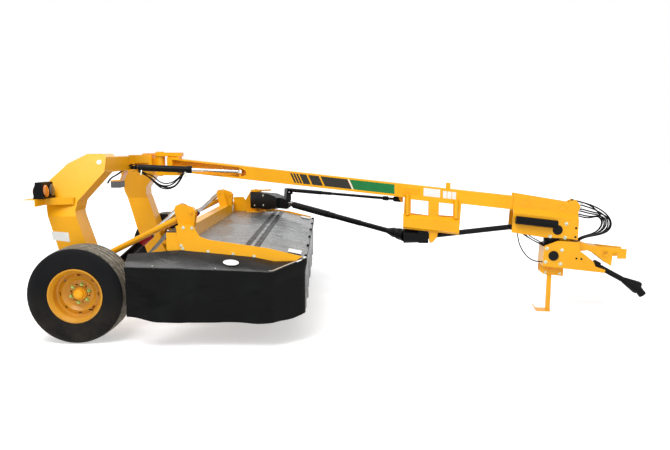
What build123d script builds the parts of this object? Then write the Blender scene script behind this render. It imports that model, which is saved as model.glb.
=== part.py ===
# Trailed centre-pivot disc mower: a carriage on two wheels, a swinging tongue over a lowered cutting header.
# Millimetres, +X forward to the hitch, +Y to the machine's left, +Z up, ground at Z = 0.
import os
from math import cos, hypot, radians, sin, tan

from build123d import *

os.makedirs("parts", exist_ok=True)

# Driving dimensions
tongue_turn = 7.6
tyre_diameter = 787.0
tyre_width = 343.0
rim_flange_radius = 215.0
bead_radius = 196.0
wheel_track = 2873.0
axle_back = 309.0
running_fit = 0.05
body_gap = 0.4
joint_gap = 1.0
side_gap = 6.0

# Carriage: two bent box arms under a cross beam that carries the tongue's pivot
tyre_side_room = 40.0
arm_outer = (wheel_track - tyre_width) / 2 - tyre_side_room
arm_thickness = 240.0
arm_bend_z = 1000.0
arm_lean = 24.0
arm_top = 1526.0
beam_back = 370.0
beam_front = 220.0
beam_bottom = 1365.0
beam_top = 1500.0
pivot_barrel_radius = 48.0
pivot_pin_radius = 24.0
barrel_bottom = 1343.0
barrel_top = 1497.0
spindle_radius = 30.0

# Tongue: one straight box boom that slopes down to the hitch
boom_width = 127.0
boom_start = 95.0
boom_end = 3600.0
boom_start_top = 1484.0
boom_depth = 131.0
boom_slope = 6.0
strap_thickness = 38.0
strap_half_width = 58.0
housing_half_width = 125.0
housing_wall = 8.0
swivel_x = 3924.0
hitch_gap = 6.0

# Lift linkage: parallel links between the legs and the header's brackets
ram_inset = 189.0
ram_plane = arm_outer - ram_inset
lug_half_gap = 32.0
link_pin_radius = 16.0
link_tube_radius = 30.0
upper_link_back = (-275.0, 620.0)
upper_link_front = (544.0, 1029.0)
link_drop = (20.0, -360.0)
ram_back = (-245.0, 470.0)
ram_front = (434.0, 1060.0)
lug_thickness = 10.0
lug_reach = 34.0

# Header: a cross beam, end plates, cutterbar, deck and skirts
header_half_width = 1750.0
header_front = 1552.0
header_rear = 142.0
header_beam_back = 434.0
header_beam_front = 534.0
header_beam_top = 906.0
header_beam_depth = 130.0
end_plate_inset = 150.0
end_plate_y = header_half_width - end_plate_inset
deck_rear_z = 785.0
deck_step_x = 1105.0
deck_front_z = 694.0
deck_thickness = 4.0
skirt_thickness = 6.0
skirt_bottom = 210.0
skirt_top = 655.0
corner_cut_x = 262.0
corner_cut_y = 190.0

# Cutterbar
disc_side_room = 280.0
disc_pitch = 420.0
disc_count = int(2 * (header_half_width - disc_side_room) / disc_pitch) + 1
disc_x = 1150.0
bar_bottom = 245.0
skid_depth = 32.0
bar_height = 66.0
bar_back = 1030.0
bar_front = 1225.0
bar_inset = 110.0
bar_half = header_half_width - bar_inset
disc_major = 172.0
disc_minor = 138.0
disc_thickness = 10.0
disc_lift = 22.0
knife_tip = 238.0
knife_width = 46.0
knife_thickness = 4.0

# Driveline
swivel_drive_x = 815.0
swivel_inset = 100.0
swivel_drive_y = end_plate_y - swivel_inset
drive_box_length = 600.0
drive_box_joint_z = 925.0
drive_tube_radii = (38.0, 34.5, 31.0, 27.5)
tube_gap = 0.5

# Where the pivot stands so that the machine's box is centred on the origin
rear_reach = 757.0
front_reach = 4779.5
pivot_x = (rear_reach - front_reach) / 2

wheel_y = wheel_track / 2
axle_z = tyre_diameter / 2

carriage = Plane(origin=(pivot_x, 0, 0), x_dir=(1, 0, 0), z_dir=(0, 0, 1))
turn = radians(tongue_turn)
tongue = Plane(origin=(pivot_x, 0, 0), x_dir=(cos(turn), -sin(turn), 0), z_dir=(0, 0, 1))

# The line from the swivelling drive box to the joint at the middle gearbox, seen from above
joint_spot = (2520.0, 715.0)
joint_world = tongue.from_local_coords(Vector(joint_spot[0], 0, 0)) - Vector(pivot_x, 0, 0)
aim_x = joint_world.X - swivel_drive_x
aim_y = joint_world.Y - swivel_drive_y
aim_run = hypot(aim_x, aim_y)
aim = Plane(
    origin=(pivot_x + swivel_drive_x, swivel_drive_y, 0),
    x_dir=(aim_x / aim_run, aim_y / aim_run, 0),
    z_dir=(0, 0, 1),
)


def upright(frame, y):
    """A plane to draw side views on: x forward, y up, standing y to the left of the frame's middle."""
    return Plane(origin=frame.from_local_coords(Vector(0, y, 0)), x_dir=frame.x_dir, z_dir=-frame.y_dir)


def level(frame, z):
    """A plane to draw plan views on, z above the ground."""
    return Plane(origin=frame.from_local_coords(Vector(0, 0, z)), x_dir=frame.x_dir, z_dir=frame.z_dir)


def facing(frame, x):
    """A plane to draw front views on: x to the left, y up, x ahead of the frame's origin."""
    return Plane(origin=frame.from_local_coords(Vector(x, 0, 0)), x_dir=frame.y_dir, z_dir=frame.x_dir)


def side_slab(frame, y_from, y_to, outline, corner=0.0, mode=Mode.ADD):
    """A plate with a side-view outline, between two distances to the left."""
    with BuildSketch(upright(frame, max(y_from, y_to))) as face:
        with BuildLine():
            Polyline(*outline, close=True)
        make_face()
        if corner:
            fillet(face.vertices(), corner)
    extrude(face.sketch, amount=abs(y_to - y_from), mode=mode)


def plan_slab(frame, z_from, z_to, outline, corner=0.0, mode=Mode.ADD):
    """A plate with a plan-view outline, between two heights."""
    with BuildSketch(level(frame, min(z_from, z_to))) as face:
        with BuildLine():
            Polyline(*outline, close=True)
        make_face()
        if corner:
            fillet(face.vertices(), corner)
    extrude(face.sketch, amount=abs(z_to - z_from), mode=mode)


def front_slab(frame, x_from, x_to, outline, corner=0.0, mode=Mode.ADD):
    """A plate with a front-view outline (left, up), between two distances ahead."""
    with BuildSketch(facing(frame, min(x_from, x_to))) as face:
        with BuildLine():
            Polyline(*outline, close=True)
        make_face()
        if corner:
            fillet(face.vertices(), corner)
    extrude(face.sketch, amount=abs(x_to - x_from), mode=mode)


def bar(frame, start, end, radius, bore=0.0, mode=Mode.ADD):
    """A round bar or tube between two points of the frame."""
    low = frame.from_local_coords(Vector(*start))
    high = frame.from_local_coords(Vector(*end))
    with BuildSketch(Plane(origin=low, z_dir=high - low)) as ring:
        Circle(radius)
        if bore:
            Circle(bore, mode=Mode.SUBTRACT)
    extrude(ring.sketch, amount=(high - low).length, mode=mode)


def cross_bar(frame, spot, y_from, y_to, radius, bore=0.0, mode=Mode.ADD):
    """A round bar that runs sideways through a side-view spot (x, z)."""
    bar(frame, (spot[0], y_from, spot[1]), (spot[0], y_to, spot[1]), radius, bore, mode)


def box_outline(x_low, x_high, z_low, z_high):
    return [(x_low, z_low), (x_high, z_low), (x_high, z_high), (x_low, z_high)]


def capsule_outline(start, end, half_width):
    """Corners of a straight strip around a line between two side-view spots."""
    length = hypot(end[0] - start[0], end[1] - start[1])
    along = ((end[0] - start[0]) / length, (end[1] - start[1]) / length)
    across = (-along[1] * half_width, along[0] * half_width)
    return [
        (start[0] + across[0], start[1] + across[1]),
        (end[0] + across[0], end[1] + across[1]),
        (end[0] - across[0], end[1] - across[1]),
        (start[0] - across[0], start[1] - across[1]),
    ]


def save(builder, label):
    builder.part.label = label
    export_step(builder.part, f"parts/{label}.step")


def toward(start, end, distance):
    """The spot at a distance from start on the line to end."""
    length = hypot(end[0] - start[0], end[1] - start[1])
    share = distance / length
    return (start[0] + (end[0] - start[0]) * share, start[1] + (end[1] - start[1]) * share)


def distance_between(start, end):
    return hypot(end[0] - start[0], end[1] - start[1])


def boom_top(x):
    return boom_start_top - (x - boom_start) * tan(radians(boom_slope))


def boom_bottom(x):
    return boom_top(x) - boom_depth


hands = ((-1, "right"), (1, "left"))
lean_shift = tan(radians(arm_lean))
arm_inner = arm_outer - arm_thickness


def arm_inner_at(z):
    return arm_inner - max(0.0, z - arm_bend_z) * lean_shift


def arm_outer_at(z):
    return arm_outer - max(0.0, z - arm_bend_z) * lean_shift


# Cross beam between the arms, with the hanger and the grey valve block behind it
valve_x = -495.0
valve_length = 100.0
valve_bottom = 1177.0
valve_top = 1244.0
valve_half = 70.0
hanger_thickness = 10.0
with BuildPart() as cross_beam:
    front_slab(
        carriage,
        -beam_back,
        -beam_front,
        [
            (-arm_inner_at(beam_bottom), beam_bottom),
            (arm_inner_at(beam_bottom), beam_bottom),
            (arm_inner_at(beam_top), beam_top),
            (-arm_inner_at(beam_top), beam_top),
        ],
    )
    side_slab(
        carriage,
        -valve_half,
        valve_half,
        [
            (valve_x, valve_top),
            (valve_x + valve_length, valve_top),
            (valve_x + valve_length, valve_top + hanger_thickness),
            (-beam_back + hanger_thickness, beam_bottom - 40),
            (-beam_back + hanger_thickness, beam_bottom),
            (-beam_back, beam_bottom),
            (-beam_back, beam_bottom - 36),
            (valve_x + valve_length - hanger_thickness, valve_top + hanger_thickness),
            (valve_x, valve_top + hanger_thickness),
        ],
    )
save(cross_beam, "cross_beam")
with BuildPart() as valve_block:
    side_slab(carriage, -valve_half, valve_half, box_outline(valve_x, valve_x + valve_length, valve_bottom, valve_top), 8.0)
save(valve_block, "valve_block")

# Head that carries the pivot barrel, flared into the cross beam, with the swing ram's lugs
head_half = 95.0
head_flare = 345.0
head_front = -64.0
head_plate = 12.0
head_visible = 82.0
swing_anchor = (-188.0, -300.0)
swing_anchor_z = 1391.0
swing_eye_half = 18.0
swing_pin_radius = 13.0
swing_lug_radius = 30.0
with BuildPart() as pivot_head:
    plan_slab(
        carriage,
        barrel_bottom,
        beam_top + head_plate,
        [(-beam_front, -head_half), (head_front, -head_half), (head_front, head_half), (-beam_front, head_half)],
    )
    for side, hand in hands:
        with BuildSketch(level(carriage, beam_top + head_plate - head_visible)) as flare:
            with BuildLine():
                Line((-beam_front, side * head_half), (-beam_front, side * head_flare))
                TangentArc((-beam_front, side * head_flare), (head_front - 25, side * head_half), tangent=(0, -side))
                Line((head_front - 25, side * head_half), (-beam_front, side * head_half))
            make_face()
        extrude(flare.sketch, amount=head_visible)
    plan_slab(carriage, barrel_bottom + 14, barrel_top - 14, [(head_front, -22), (-20, -22), (-20, 22), (head_front, 22)])
    bar(carriage, (0, 0, barrel_bottom), (0, 0, barrel_top), pivot_barrel_radius)
    bar(carriage, (0, 0, barrel_bottom), (0, 0, barrel_top), pivot_pin_radius + running_fit, mode=Mode.SUBTRACT)
    for z_low in (swing_anchor_z - swing_eye_half - joint_gap - lug_thickness, swing_anchor_z + swing_eye_half + joint_gap):
        plan_slab(
            carriage,
            z_low,
            z_low + lug_thickness,
            [
                (-beam_front, swing_anchor[1] - 45),
                (swing_anchor[0], swing_anchor[1] - swing_lug_radius),
                (swing_anchor[0], swing_anchor[1] + swing_lug_radius),
                (-beam_front, swing_anchor[1] + 45),
            ],
        )
        bar(
            carriage,
            (swing_anchor[0], swing_anchor[1], z_low),
            (swing_anchor[0], swing_anchor[1], z_low + lug_thickness),
            swing_lug_radius,
        )
    bar(
        carriage,
        (swing_anchor[0], swing_anchor[1], swing_anchor_z - swing_eye_half - 24),
        (swing_anchor[0], swing_anchor[1], swing_anchor_z + swing_eye_half + 24),
        swing_pin_radius,
    )
save(pivot_head, "pivot_head")

# Bent box arms, each with the lugs of the lift linkage on the front of its leg
lower_link_back = (upper_link_back[0] + link_drop[0], upper_link_back[1] + link_drop[1])
lower_link_front = (upper_link_front[0] + link_drop[0], upper_link_front[1] + link_drop[1])
link_plane = ram_plane + 2 * lug_half_gap + lug_thickness
lug_planes = (ram_plane - lug_half_gap - lug_thickness, ram_plane + lug_half_gap, link_plane + lug_half_gap)
link_slot_height = 120.0
arm_side_view = [
    (-381, arm_top),
    (-239, arm_top),
    (-beam_front + 4, beam_top),
    (-beam_front + 4, beam_bottom + 8),
    (-417, 1122),
    (-426, 1040),
    (-346, 790),
    (-300, 640),
    (-255, 440),
    (-222, 360),
    (-240, 240),
    (-300, 200),
    (-400, 230),
    (-455, 380),
    (-505, 520),
    (-555, 650),
    (-610, 855),
    (-672, 1076),
    (-680, 1300),
    (-542, 1441),
]
for side, hand in hands:
    with BuildPart() as arm:
        side_slab(carriage, side * (arm_inner_at(arm_top) - 50), side * (arm_outer + 10), arm_side_view, 18.0)
        front_slab(
            carriage,
            -800,
            0,
            [
                (side * arm_outer, 150),
                (side * arm_outer, arm_bend_z),
                (side * arm_outer_at(arm_top + 10), arm_top + 10),
                (side * arm_inner_at(arm_top + 10), arm_top + 10),
                (side * arm_inner, arm_bend_z),
                (side * arm_inner, 150),
            ],
            mode=Mode.INTERSECT,
        )
        for spot, planes in (
            (upper_link_back, lug_planes[1:]),
            (ram_back, lug_planes[:2]),
            (lower_link_back, lug_planes[1:]),
        ):
            for y in planes:
                side_slab(
                    carriage,
                    side * y,
                    side * (y + lug_thickness),
                    box_outline(spot[0] - 75, spot[0], spot[1] - lug_reach, spot[1] + lug_reach),
                )
                cross_bar(carriage, spot, side * y, side * (y + lug_thickness), lug_reach)
            cross_bar(carriage, spot, side * (planes[0] - 8), side * (planes[-1] + lug_thickness + 8), link_pin_radius)
        for spot, y_from, y_to, room in (
            (upper_link_back, lug_planes[1] + lug_thickness, lug_planes[2], lug_reach + 8),
            (ram_back, lug_planes[0] + lug_thickness, lug_planes[1], lug_reach + 12),
            (lower_link_back, lug_planes[1] + lug_thickness, lug_planes[2], lug_reach + 8),
        ):
            cross_bar(carriage, spot, side * y_from, side * y_to, room, mode=Mode.SUBTRACT)
            side_slab(
                carriage,
                side * y_from,
                side * y_to,
                box_outline(spot[0] - 8, -100, spot[1] - room, spot[1] + link_slot_height),
                mode=Mode.SUBTRACT,
            )
            cross_bar(carriage, spot, side * y_from, side * y_to, link_pin_radius)
        cross_bar(
            carriage,
            (-axle_back, axle_z),
            side * (arm_outer - 30),
            side * (wheel_y + 20),
            spindle_radius,
        )
        cross_bar(carriage, (-axle_back, axle_z), side * (arm_outer - 30), side * (arm_outer + 14), 62)
    save(arm, f"arm_{hand}")

# Lamps on their angle brackets outside the arms
lamp_shelf_z = 1152.0
lamp_shelf_thickness = 6.0
lamp_lip = 52.0
lamp_height = 136.0
lamp_near = arm_outer - 65
lamp_far = arm_outer + 170
shelf_near = lamp_near - 20
shelf_bend = lamp_near + 102
shelf_far = lamp_far + 45
lamp_plan = [(-706, lamp_near), (-606, lamp_near), (-606, lamp_far), (-690, lamp_far)]
shelf_plan = [
    (-757, shelf_near),
    (-440, shelf_near),
    (-440, shelf_near + 55),
    (-655, shelf_bend),
    (-655, shelf_far),
    (-757, shelf_far),
]
with BuildPart() as lamp_brackets:
    for side, hand in hands:
        plan_slab(
            carriage,
            lamp_shelf_z,
            lamp_shelf_z + lamp_shelf_thickness,
            [(x, side * y) for x, y in shelf_plan],
        )
        plan_slab(
            carriage,
            lamp_shelf_z - lamp_lip,
            lamp_shelf_z,
            [
                (-655, side * shelf_far),
                (-655, side * shelf_bend),
                (-440, side * (shelf_near + 55)),
                (-440, side * (shelf_near + 49)),
                (-661, side * (shelf_bend - 5)),
                (-661, side * shelf_far),
            ],
        )
        front_slab(
            carriage,
            -800,
            -430,
            [
                (side * (shelf_near - 240), 1050),
                (side * arm_outer_at(1050), 1050),
                (side * arm_outer_at(1200), 1200),
                (side * (shelf_near - 240), 1200),
            ],
            mode=Mode.SUBTRACT,
        )
save(lamp_brackets, "lamp_brackets")
lamp_floor = lamp_shelf_z + lamp_shelf_thickness
with BuildPart() as lamp_housings:
    for side, hand in hands:
        with BuildSketch(level(carriage, lamp_floor)) as lamp_foot:
            with BuildLine():
                Polyline(*[(x, side * y) for x, y in lamp_plan[::side]], close=True)
            make_face()
        extrude(lamp_foot.sketch, amount=lamp_height, taper=6)
save(lamp_housings, "lamp_housings")

# Tyres and rims
tread_half = 150.0
rib_depth = 9.0
groove_half = 6.0
groove_spots = (-92.0, -31.0, 31.0, 92.0)
disc_recess = 130.0
rim_wall = 6.0
hub_radius = 62.0
hub_inner_end = arm_outer + 14 + side_gap
stud_circle = 152.0
stud_count = 6
hand_hole_circle = 312.0
hand_hole_count = 8
for side, hand in hands:
    section_plane = Plane(origin=carriage.from_local_coords(Vector(-axle_back, side * wheel_y, axle_z)), x_dir=(0, side, 0), z_dir=(1, 0, 0))
    axle_line = Axis(section_plane.origin, (0, 1, 0))
    up = 1 if section_plane.y_dir.Z > 0 else -1
    half = tyre_width / 2
    tread_radius = tyre_diameter / 2
    with BuildPart() as tyre:
        with BuildSketch(section_plane) as tyre_section:
            with BuildLine():
                tread = [(-tread_half, up * (tread_radius - 7))]
                for spot in groove_spots:
                    tread += [
                        (spot - groove_half, up * tread_radius),
                        (spot - groove_half / 2, up * (tread_radius - rib_depth)),
                        (spot + groove_half / 2, up * (tread_radius - rib_depth)),
                        (spot + groove_half, up * tread_radius),
                    ]
                tread += [(tread_half, up * (tread_radius - 7))]
                Polyline(*tread)
                ThreePointArc(
                    (tread_half, up * (tread_radius - 7)),
                    (half, up * 300),
                    (half - 22, up * rim_flange_radius),
                )
                Polyline(
                    (half - 22, up * rim_flange_radius),
                    (half - 40, up * bead_radius),
                    (-half + 40, up * bead_radius),
                    (-half + 22, up * rim_flange_radius),
                )
                ThreePointArc(
                    (-half + 22, up * rim_flange_radius),
                    (-half, up * 300),
                    (-tread_half, up * (tread_radius - 7)),
                )
            make_face()
        revolve(tyre_section.sketch, axis=axle_line)
    save(tyre, f"tyre_{hand}")

    flange_y = half - 17
    disc_y = half - disc_recess
    with BuildPart() as rim:
        with BuildSketch(section_plane) as rim_section:
            with BuildLine():
                Polyline(
                    (-flange_y, up * (rim_flange_radius + 6)),
                    (-flange_y, up * rim_flange_radius),
                    (-half + 40 - 1.2, up * (bead_radius - body_gap)),
                    (half - 40 + 1.2, up * (bead_radius - body_gap)),
                    (flange_y, up * rim_flange_radius),
                    (flange_y, up * (rim_flange_radius + 6)),
                    (flange_y + rim_wall, up * (rim_flange_radius + 6)),
                    (flange_y + rim_wall, up * (rim_flange_radius - 6)),
                    (half - 42, up * (bead_radius - rim_wall - 3)),
                    (disc_y + 20, up * (bead_radius - rim_wall - 3)),
                    (disc_y + 14, up * 172),
                    (disc_y + 22, up * 140),
                    (disc_y, up * 112),
                    (disc_y, up * hub_radius),
                    (disc_y + 14, up * (hub_radius - 4)),
                    (disc_y + 14, up * 40),
                    (disc_y + 44, up * 38),
                    (disc_y + 52, up * 20),
                    (disc_y + 52, 0),
                    (disc_y + 40, 0),
                    (disc_y + 40, up * (spindle_radius + running_fit)),
                    (hub_inner_end - wheel_y, up * (spindle_radius + running_fit)),
                    (hub_inner_end - wheel_y, up * hub_radius),
                    (disc_y - 10, up * hub_radius),
                    (disc_y - 10, up * 116),
                    (disc_y + 12, up * 141),
                    (disc_y + 4, up * 174),
                    (disc_y, up * (bead_radius - rim_wall - 3)),
                    (-half + 42, up * (bead_radius - rim_wall - 3)),
                    (-flange_y - rim_wall, up * (rim_flange_radius - 6)),
                    (-flange_y - rim_wall, up * (rim_flange_radius + 6)),
                    close=True,
                )
            make_face()
        revolve(rim_section.sketch, axis=axle_line)
        wheel_face = Plane(
            origin=carriage.from_local_coords(Vector(-axle_back, side * (wheel_y + disc_y + 14), axle_z)),
            x_dir=(1, 0, 0),
            z_dir=(0, side, 0),
        )
        with BuildSketch(wheel_face) as hand_holes:
            with PolarLocations(hand_hole_circle / 2, hand_hole_count):
                SlotOverall(30, 12, rotation=90)
        extrude(hand_holes.sketch, amount=60, both=True, mode=Mode.SUBTRACT)
        with BuildSketch(wheel_face.offset(-14)) as studs:
            with PolarLocations(stud_circle / 2, stud_count):
                RegularPolygon(11, 6)
        extrude(studs.sketch, amount=14)
    save(rim, f"rim_{hand}")

# Tongue boom with the straps and pin that clasp the pivot barrel, and a pocket for the swing ram
boom_half = boom_width / 2
strap_reach = 235.0
pocket_depth = 58.0
pocket_start = 150.0
pocket_end = 915.0
pocket_rim = 16.0
swing_eye = (850.0, -boom_half + 24.0)
swing_eye_z = 1345.0
swing_eye_radius = 27.0
swing_eye_bore = 21.0
pin_head_radius = 40.0
tab_back = 2903.0
tab_half = 20.0
tab_top = 1243.0
strap_top_z = barrel_top + joint_gap
strap_bottom_z = barrel_bottom - joint_gap
with BuildPart() as boom:
    side_slab(
        tongue,
        -boom_half,
        boom_half,
        [
            (boom_start, boom_bottom(boom_start)),
            (boom_end, boom_bottom(boom_end)),
            (boom_end, boom_top(boom_end)),
            (boom_start, boom_top(boom_start)),
        ],
        4.0,
    )
    for z_low, z_high in ((strap_top_z, strap_top_z + strap_thickness), (strap_bottom_z - strap_thickness, strap_bottom_z)):
        plan_slab(
            tongue,
            z_low,
            z_high,
            [
                (0, -strap_half_width),
                (strap_reach - 50, -strap_half_width),
                (strap_reach, -strap_half_width + 22),
                (strap_reach, strap_half_width - 22),
                (strap_reach - 50, strap_half_width),
                (0, strap_half_width),
            ],
        )
        bar(tongue, (0, 0, z_low), (0, 0, z_high), strap_half_width)
    plan_slab(
        tongue,
        boom_bottom(strap_reach) + 10,
        strap_top_z + 4,
        box_outline(boom_start, strap_reach - 20, -boom_half + 14, boom_half - 14),
    )
    plan_slab(tongue, strap_bottom_z - 4, boom_top(boom_start), box_outline(boom_start, boom_start + 14, -boom_half, boom_half))
    side_slab(
        tongue,
        -boom_half - 1,
        -boom_half + pocket_depth,
        [
            (pocket_start, boom_top(pocket_start) - pocket_rim),
            (pocket_end - 70, boom_top(pocket_end - 70) - pocket_rim),
            (pocket_end, boom_top(pocket_end) - 46),
            (pocket_end, boom_bottom(pocket_end) + 46),
            (pocket_end - 70, boom_bottom(pocket_end - 70) + pocket_rim),
            (pocket_start, boom_bottom(pocket_start) + pocket_rim),
        ],
        mode=Mode.SUBTRACT,
    )
    bar(tongue, (0, 0, strap_bottom_z - strap_thickness - 8), (0, 0, strap_top_z + strap_thickness + 4), pivot_pin_radius)
    bar(
        tongue,
        (0, 0, strap_top_z + strap_thickness),
        (0, 0, strap_top_z + strap_thickness + 9),
        pin_head_radius,
    )
    bar(
        tongue,
        (swing_eye[0], swing_eye[1], boom_bottom(swing_eye[0]) + 2),
        (swing_eye[0], swing_eye[1], boom_top(swing_eye[0]) - 2),
        swing_pin_radius,
    )
    side_slab(tongue, -tab_half, tab_half, box_outline(tab_back, tab_back + 45, boom_top(tab_back + 45) - 6, tab_top))
save(boom, "boom")

# Bracket that hangs under the boom and carries the driveline's middle gearbox
bracket_back = 2491.0
bracket_front = 3035.0
bracket_bottom_back = 795.0
bracket_bottom_front = 738.0
bracket_sill_back = 940.0
bracket_sill_front = 905.0
bracket_lap = 34.0
bracket_plate = 8.0
post_width = 62.0
window_split = (2738.0, 2838.0)
window_head_room = 12.0
steer_lug_side = 40.0
steer_lug_z = 1072.0
steer_boot_far = 160.0
steer_boot_near = 62.0
steer_boot_radius = 22.0
with BuildPart() as driveline_bracket:
    for y_from in (-boom_half - bracket_plate, boom_half):
        side_slab(
            tongue,
            y_from,
            y_from + bracket_plate,
            [
                (bracket_back + 14, boom_bottom(bracket_back) + bracket_lap),
                (bracket_front + 20, boom_bottom(bracket_front) + bracket_lap),
                (bracket_front, bracket_bottom_front),
                (bracket_back, bracket_bottom_back),
            ],
        )
        for x_low, x_high in (
            (bracket_back + 14 + post_width, window_split[0]),
            (window_split[1], bracket_front - post_width + 14),
        ):
            sill = (x_low - bracket_back) / (bracket_front - bracket_back)
            side_slab(
                tongue,
                y_from,
                y_from + bracket_plate,
                [
                    (x_low, bracket_sill_back + (bracket_sill_front - bracket_sill_back) * sill),
                    (x_high, bracket_sill_front + (1 - sill) * 12),
                    (x_high, boom_bottom(x_high) - window_head_room),
                    (x_low, boom_bottom(x_low) - window_head_room),
                ],
                mode=Mode.SUBTRACT,
            )
    side_slab(
        tongue,
        -boom_half,
        boom_half,
        [
            (bracket_back, bracket_sill_back - 12),
            (bracket_front, bracket_sill_front - 12),
            (bracket_front, bracket_sill_front - 20),
            (bracket_back, bracket_sill_back - 20),
        ],
    )
    for y_from in (-boom_half - bracket_plate, boom_half):
        side_slab(
            tongue,
            y_from,
            y_from + bracket_plate,
            [(2746, 790), (2836, 790), (2826, 716), (2788, 664), (2752, 652), (2748, 700)],
        )
    cross_bar(tongue, (2785, 674), -boom_half, boom_half, 9)
    side_slab(
        tongue,
        -lug_thickness,
        steer_lug_side,
        [
            (2440, boom_bottom(2440)),
            (2488, boom_bottom(2488)),
            (2488, steer_lug_z - 24),
            (2464, steer_lug_z - 24),
        ],
    )
    bar(aim, (aim_run - steer_boot_far, 0, steer_lug_z), (aim_run - steer_boot_near, 0, steer_lug_z), steer_boot_radius)
save(driveline_bracket, "driveline_bracket")

# Middle gearbox with the guard round its joint, and the guarded shaft on to the hitch
gear_front = 2742.0
guard_back = 2497.0
guard_waist = 2660.0
guard_mouth = 72.0
guard_small = 64.0
guard_z = 712.0
guard_shell = 9.0
hub_half = 30.0
shaft_front = (3541.0, 818.0)
shaft_back = (2843.0, 728.0)
front_shaft_radius = 26.0
with BuildPart() as middle_gearbox:
    with BuildSketch(facing(tongue, guard_back)) as mouth_ring:
        with Locations((0, guard_z)):
            Circle(guard_mouth)
    with BuildSketch(facing(tongue, guard_waist)) as waist_ring:
        with Locations((0, guard_z)):
            Circle(guard_small)
    loft([mouth_ring.sketch.faces()[0], waist_ring.sketch.faces()[0]])
    bar(tongue, (guard_back - 1, 0, guard_z), (guard_back + 90, 0, guard_z), guard_mouth - guard_shell, mode=Mode.SUBTRACT)
    side_slab(tongue, -boom_half, boom_half, box_outline(guard_waist - 20, gear_front, guard_z - 62, guard_z + 88), 12.0)
    bar(tongue, (joint_spot[0] - 8, 0, guard_z), (guard_back + 100, 0, guard_z), 24)
    bar(tongue, (joint_spot[0], 0, guard_z - hub_half), (joint_spot[0], 0, guard_z + hub_half), hub_half)
save(middle_gearbox, "middle_gearbox")
with BuildPart() as front_shaft:
    bar(tongue, (gear_front, 0, 716), (gear_front + 30, 0, 716), 30)
    bar(tongue, (gear_front + 20, 0, 716), (shaft_back[0] - 50, 0, shaft_back[1] - 8), 20)
    bar(tongue, (shaft_back[0] - 62, 0, shaft_back[1] - 8), (shaft_front[0], 0, shaft_front[1]), front_shaft_radius)
    bar(tongue, (shaft_front[0] - 6, 0, shaft_front[1]), (3850, 0, 845), 18)
    bar(tongue, (3836, 0, 845), (3860, 0, 845), 26)
save(front_shaft, "front_shaft")

# Housing at the boom's front: narrow sides on the boom, flared out below round the upper gearbox
housing_back = 3526.0
housing_front = 4146.0
housing_top_x = 4060.0
flare_high = 1018.0
flare_low = 966.0
slope_dir = (tongue.x_dir * cos(radians(boom_slope)) - tongue.z_dir * sin(radians(boom_slope))).normalized()
housing_side = [
    (housing_back + 22, 1150),
    (housing_top_x, boom_top(housing_top_x)),
    (4117, 1095),
    (4166, 1035),
    (housing_front, 958),
    (housing_front - 5, 714),
    (4017, 728),
    (3836, 732),
    (housing_back, 777),
]
gear_hub_upper = (3953.0, 806.0)
gear_hub_radius = 45.0
with BuildPart() as hitch_housing:
    with BuildSketch(facing(tongue, housing_back - 40)) as housing_section:
        top = boom_top(housing_back - 40) + 60
        with BuildLine():
            Polyline(
                (boom_half, top),
                (boom_half, flare_high),
                (housing_half_width - housing_wall, flare_low),
                (housing_half_width - housing_wall, 600),
                (housing_half_width, 600),
                (housing_half_width, flare_low + 5),
                (boom_half + housing_wall, flare_high + 6),
                (boom_half + housing_wall, top),
                close=True,
            )
        make_face()
        mirror(about=Plane.YZ)
    extrude(housing_section.sketch, amount=900, dir=slope_dir)
    side_slab(tongue, -300, 300, housing_side, mode=Mode.INTERSECT)
    side_slab(
        tongue,
        -boom_half,
        boom_half,
        [
            (boom_end, boom_top(boom_end)),
            (housing_top_x, boom_top(housing_top_x)),
            (housing_top_x, boom_top(housing_top_x) - housing_wall),
            (boom_end, boom_top(boom_end) - housing_wall),
        ],
    )
    cross_bar(tongue, gear_hub_upper, -200, 200, gear_hub_radius + 2, mode=Mode.SUBTRACT)
save(hitch_housing, "hitch_housing")
neck_radius = 75.0
neck_split = 690.0
king_pin_radius = 30.0
king_pin_low = 646.0
with BuildPart() as upper_gearbox:
    side_slab(tongue, -housing_half_width + housing_wall, housing_half_width - housing_wall, box_outline(3860, 4050, 742, 900), 16.0)
    bar(tongue, (swivel_x, 0, neck_split), (swivel_x, 0, 744), neck_radius)
    cross_bar(tongue, gear_hub_upper, -housing_half_width, housing_half_width, gear_hub_radius)
    bar(tongue, (swivel_x, 0, king_pin_low), (swivel_x, 0, neck_split + 1), king_pin_radius)
save(upper_gearbox, "upper_gearbox")
canister_radius = 38.0
with BuildPart() as document_tube:
    bar(
        tongue,
        (3556, -housing_half_width - canister_radius - 0.3, 903),
        (3942, -housing_half_width - canister_radius - 0.3, 862),
        canister_radius,
    )
    fillet(document_tube.edges(), 6)
save(document_tube, "document_tube")

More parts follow.
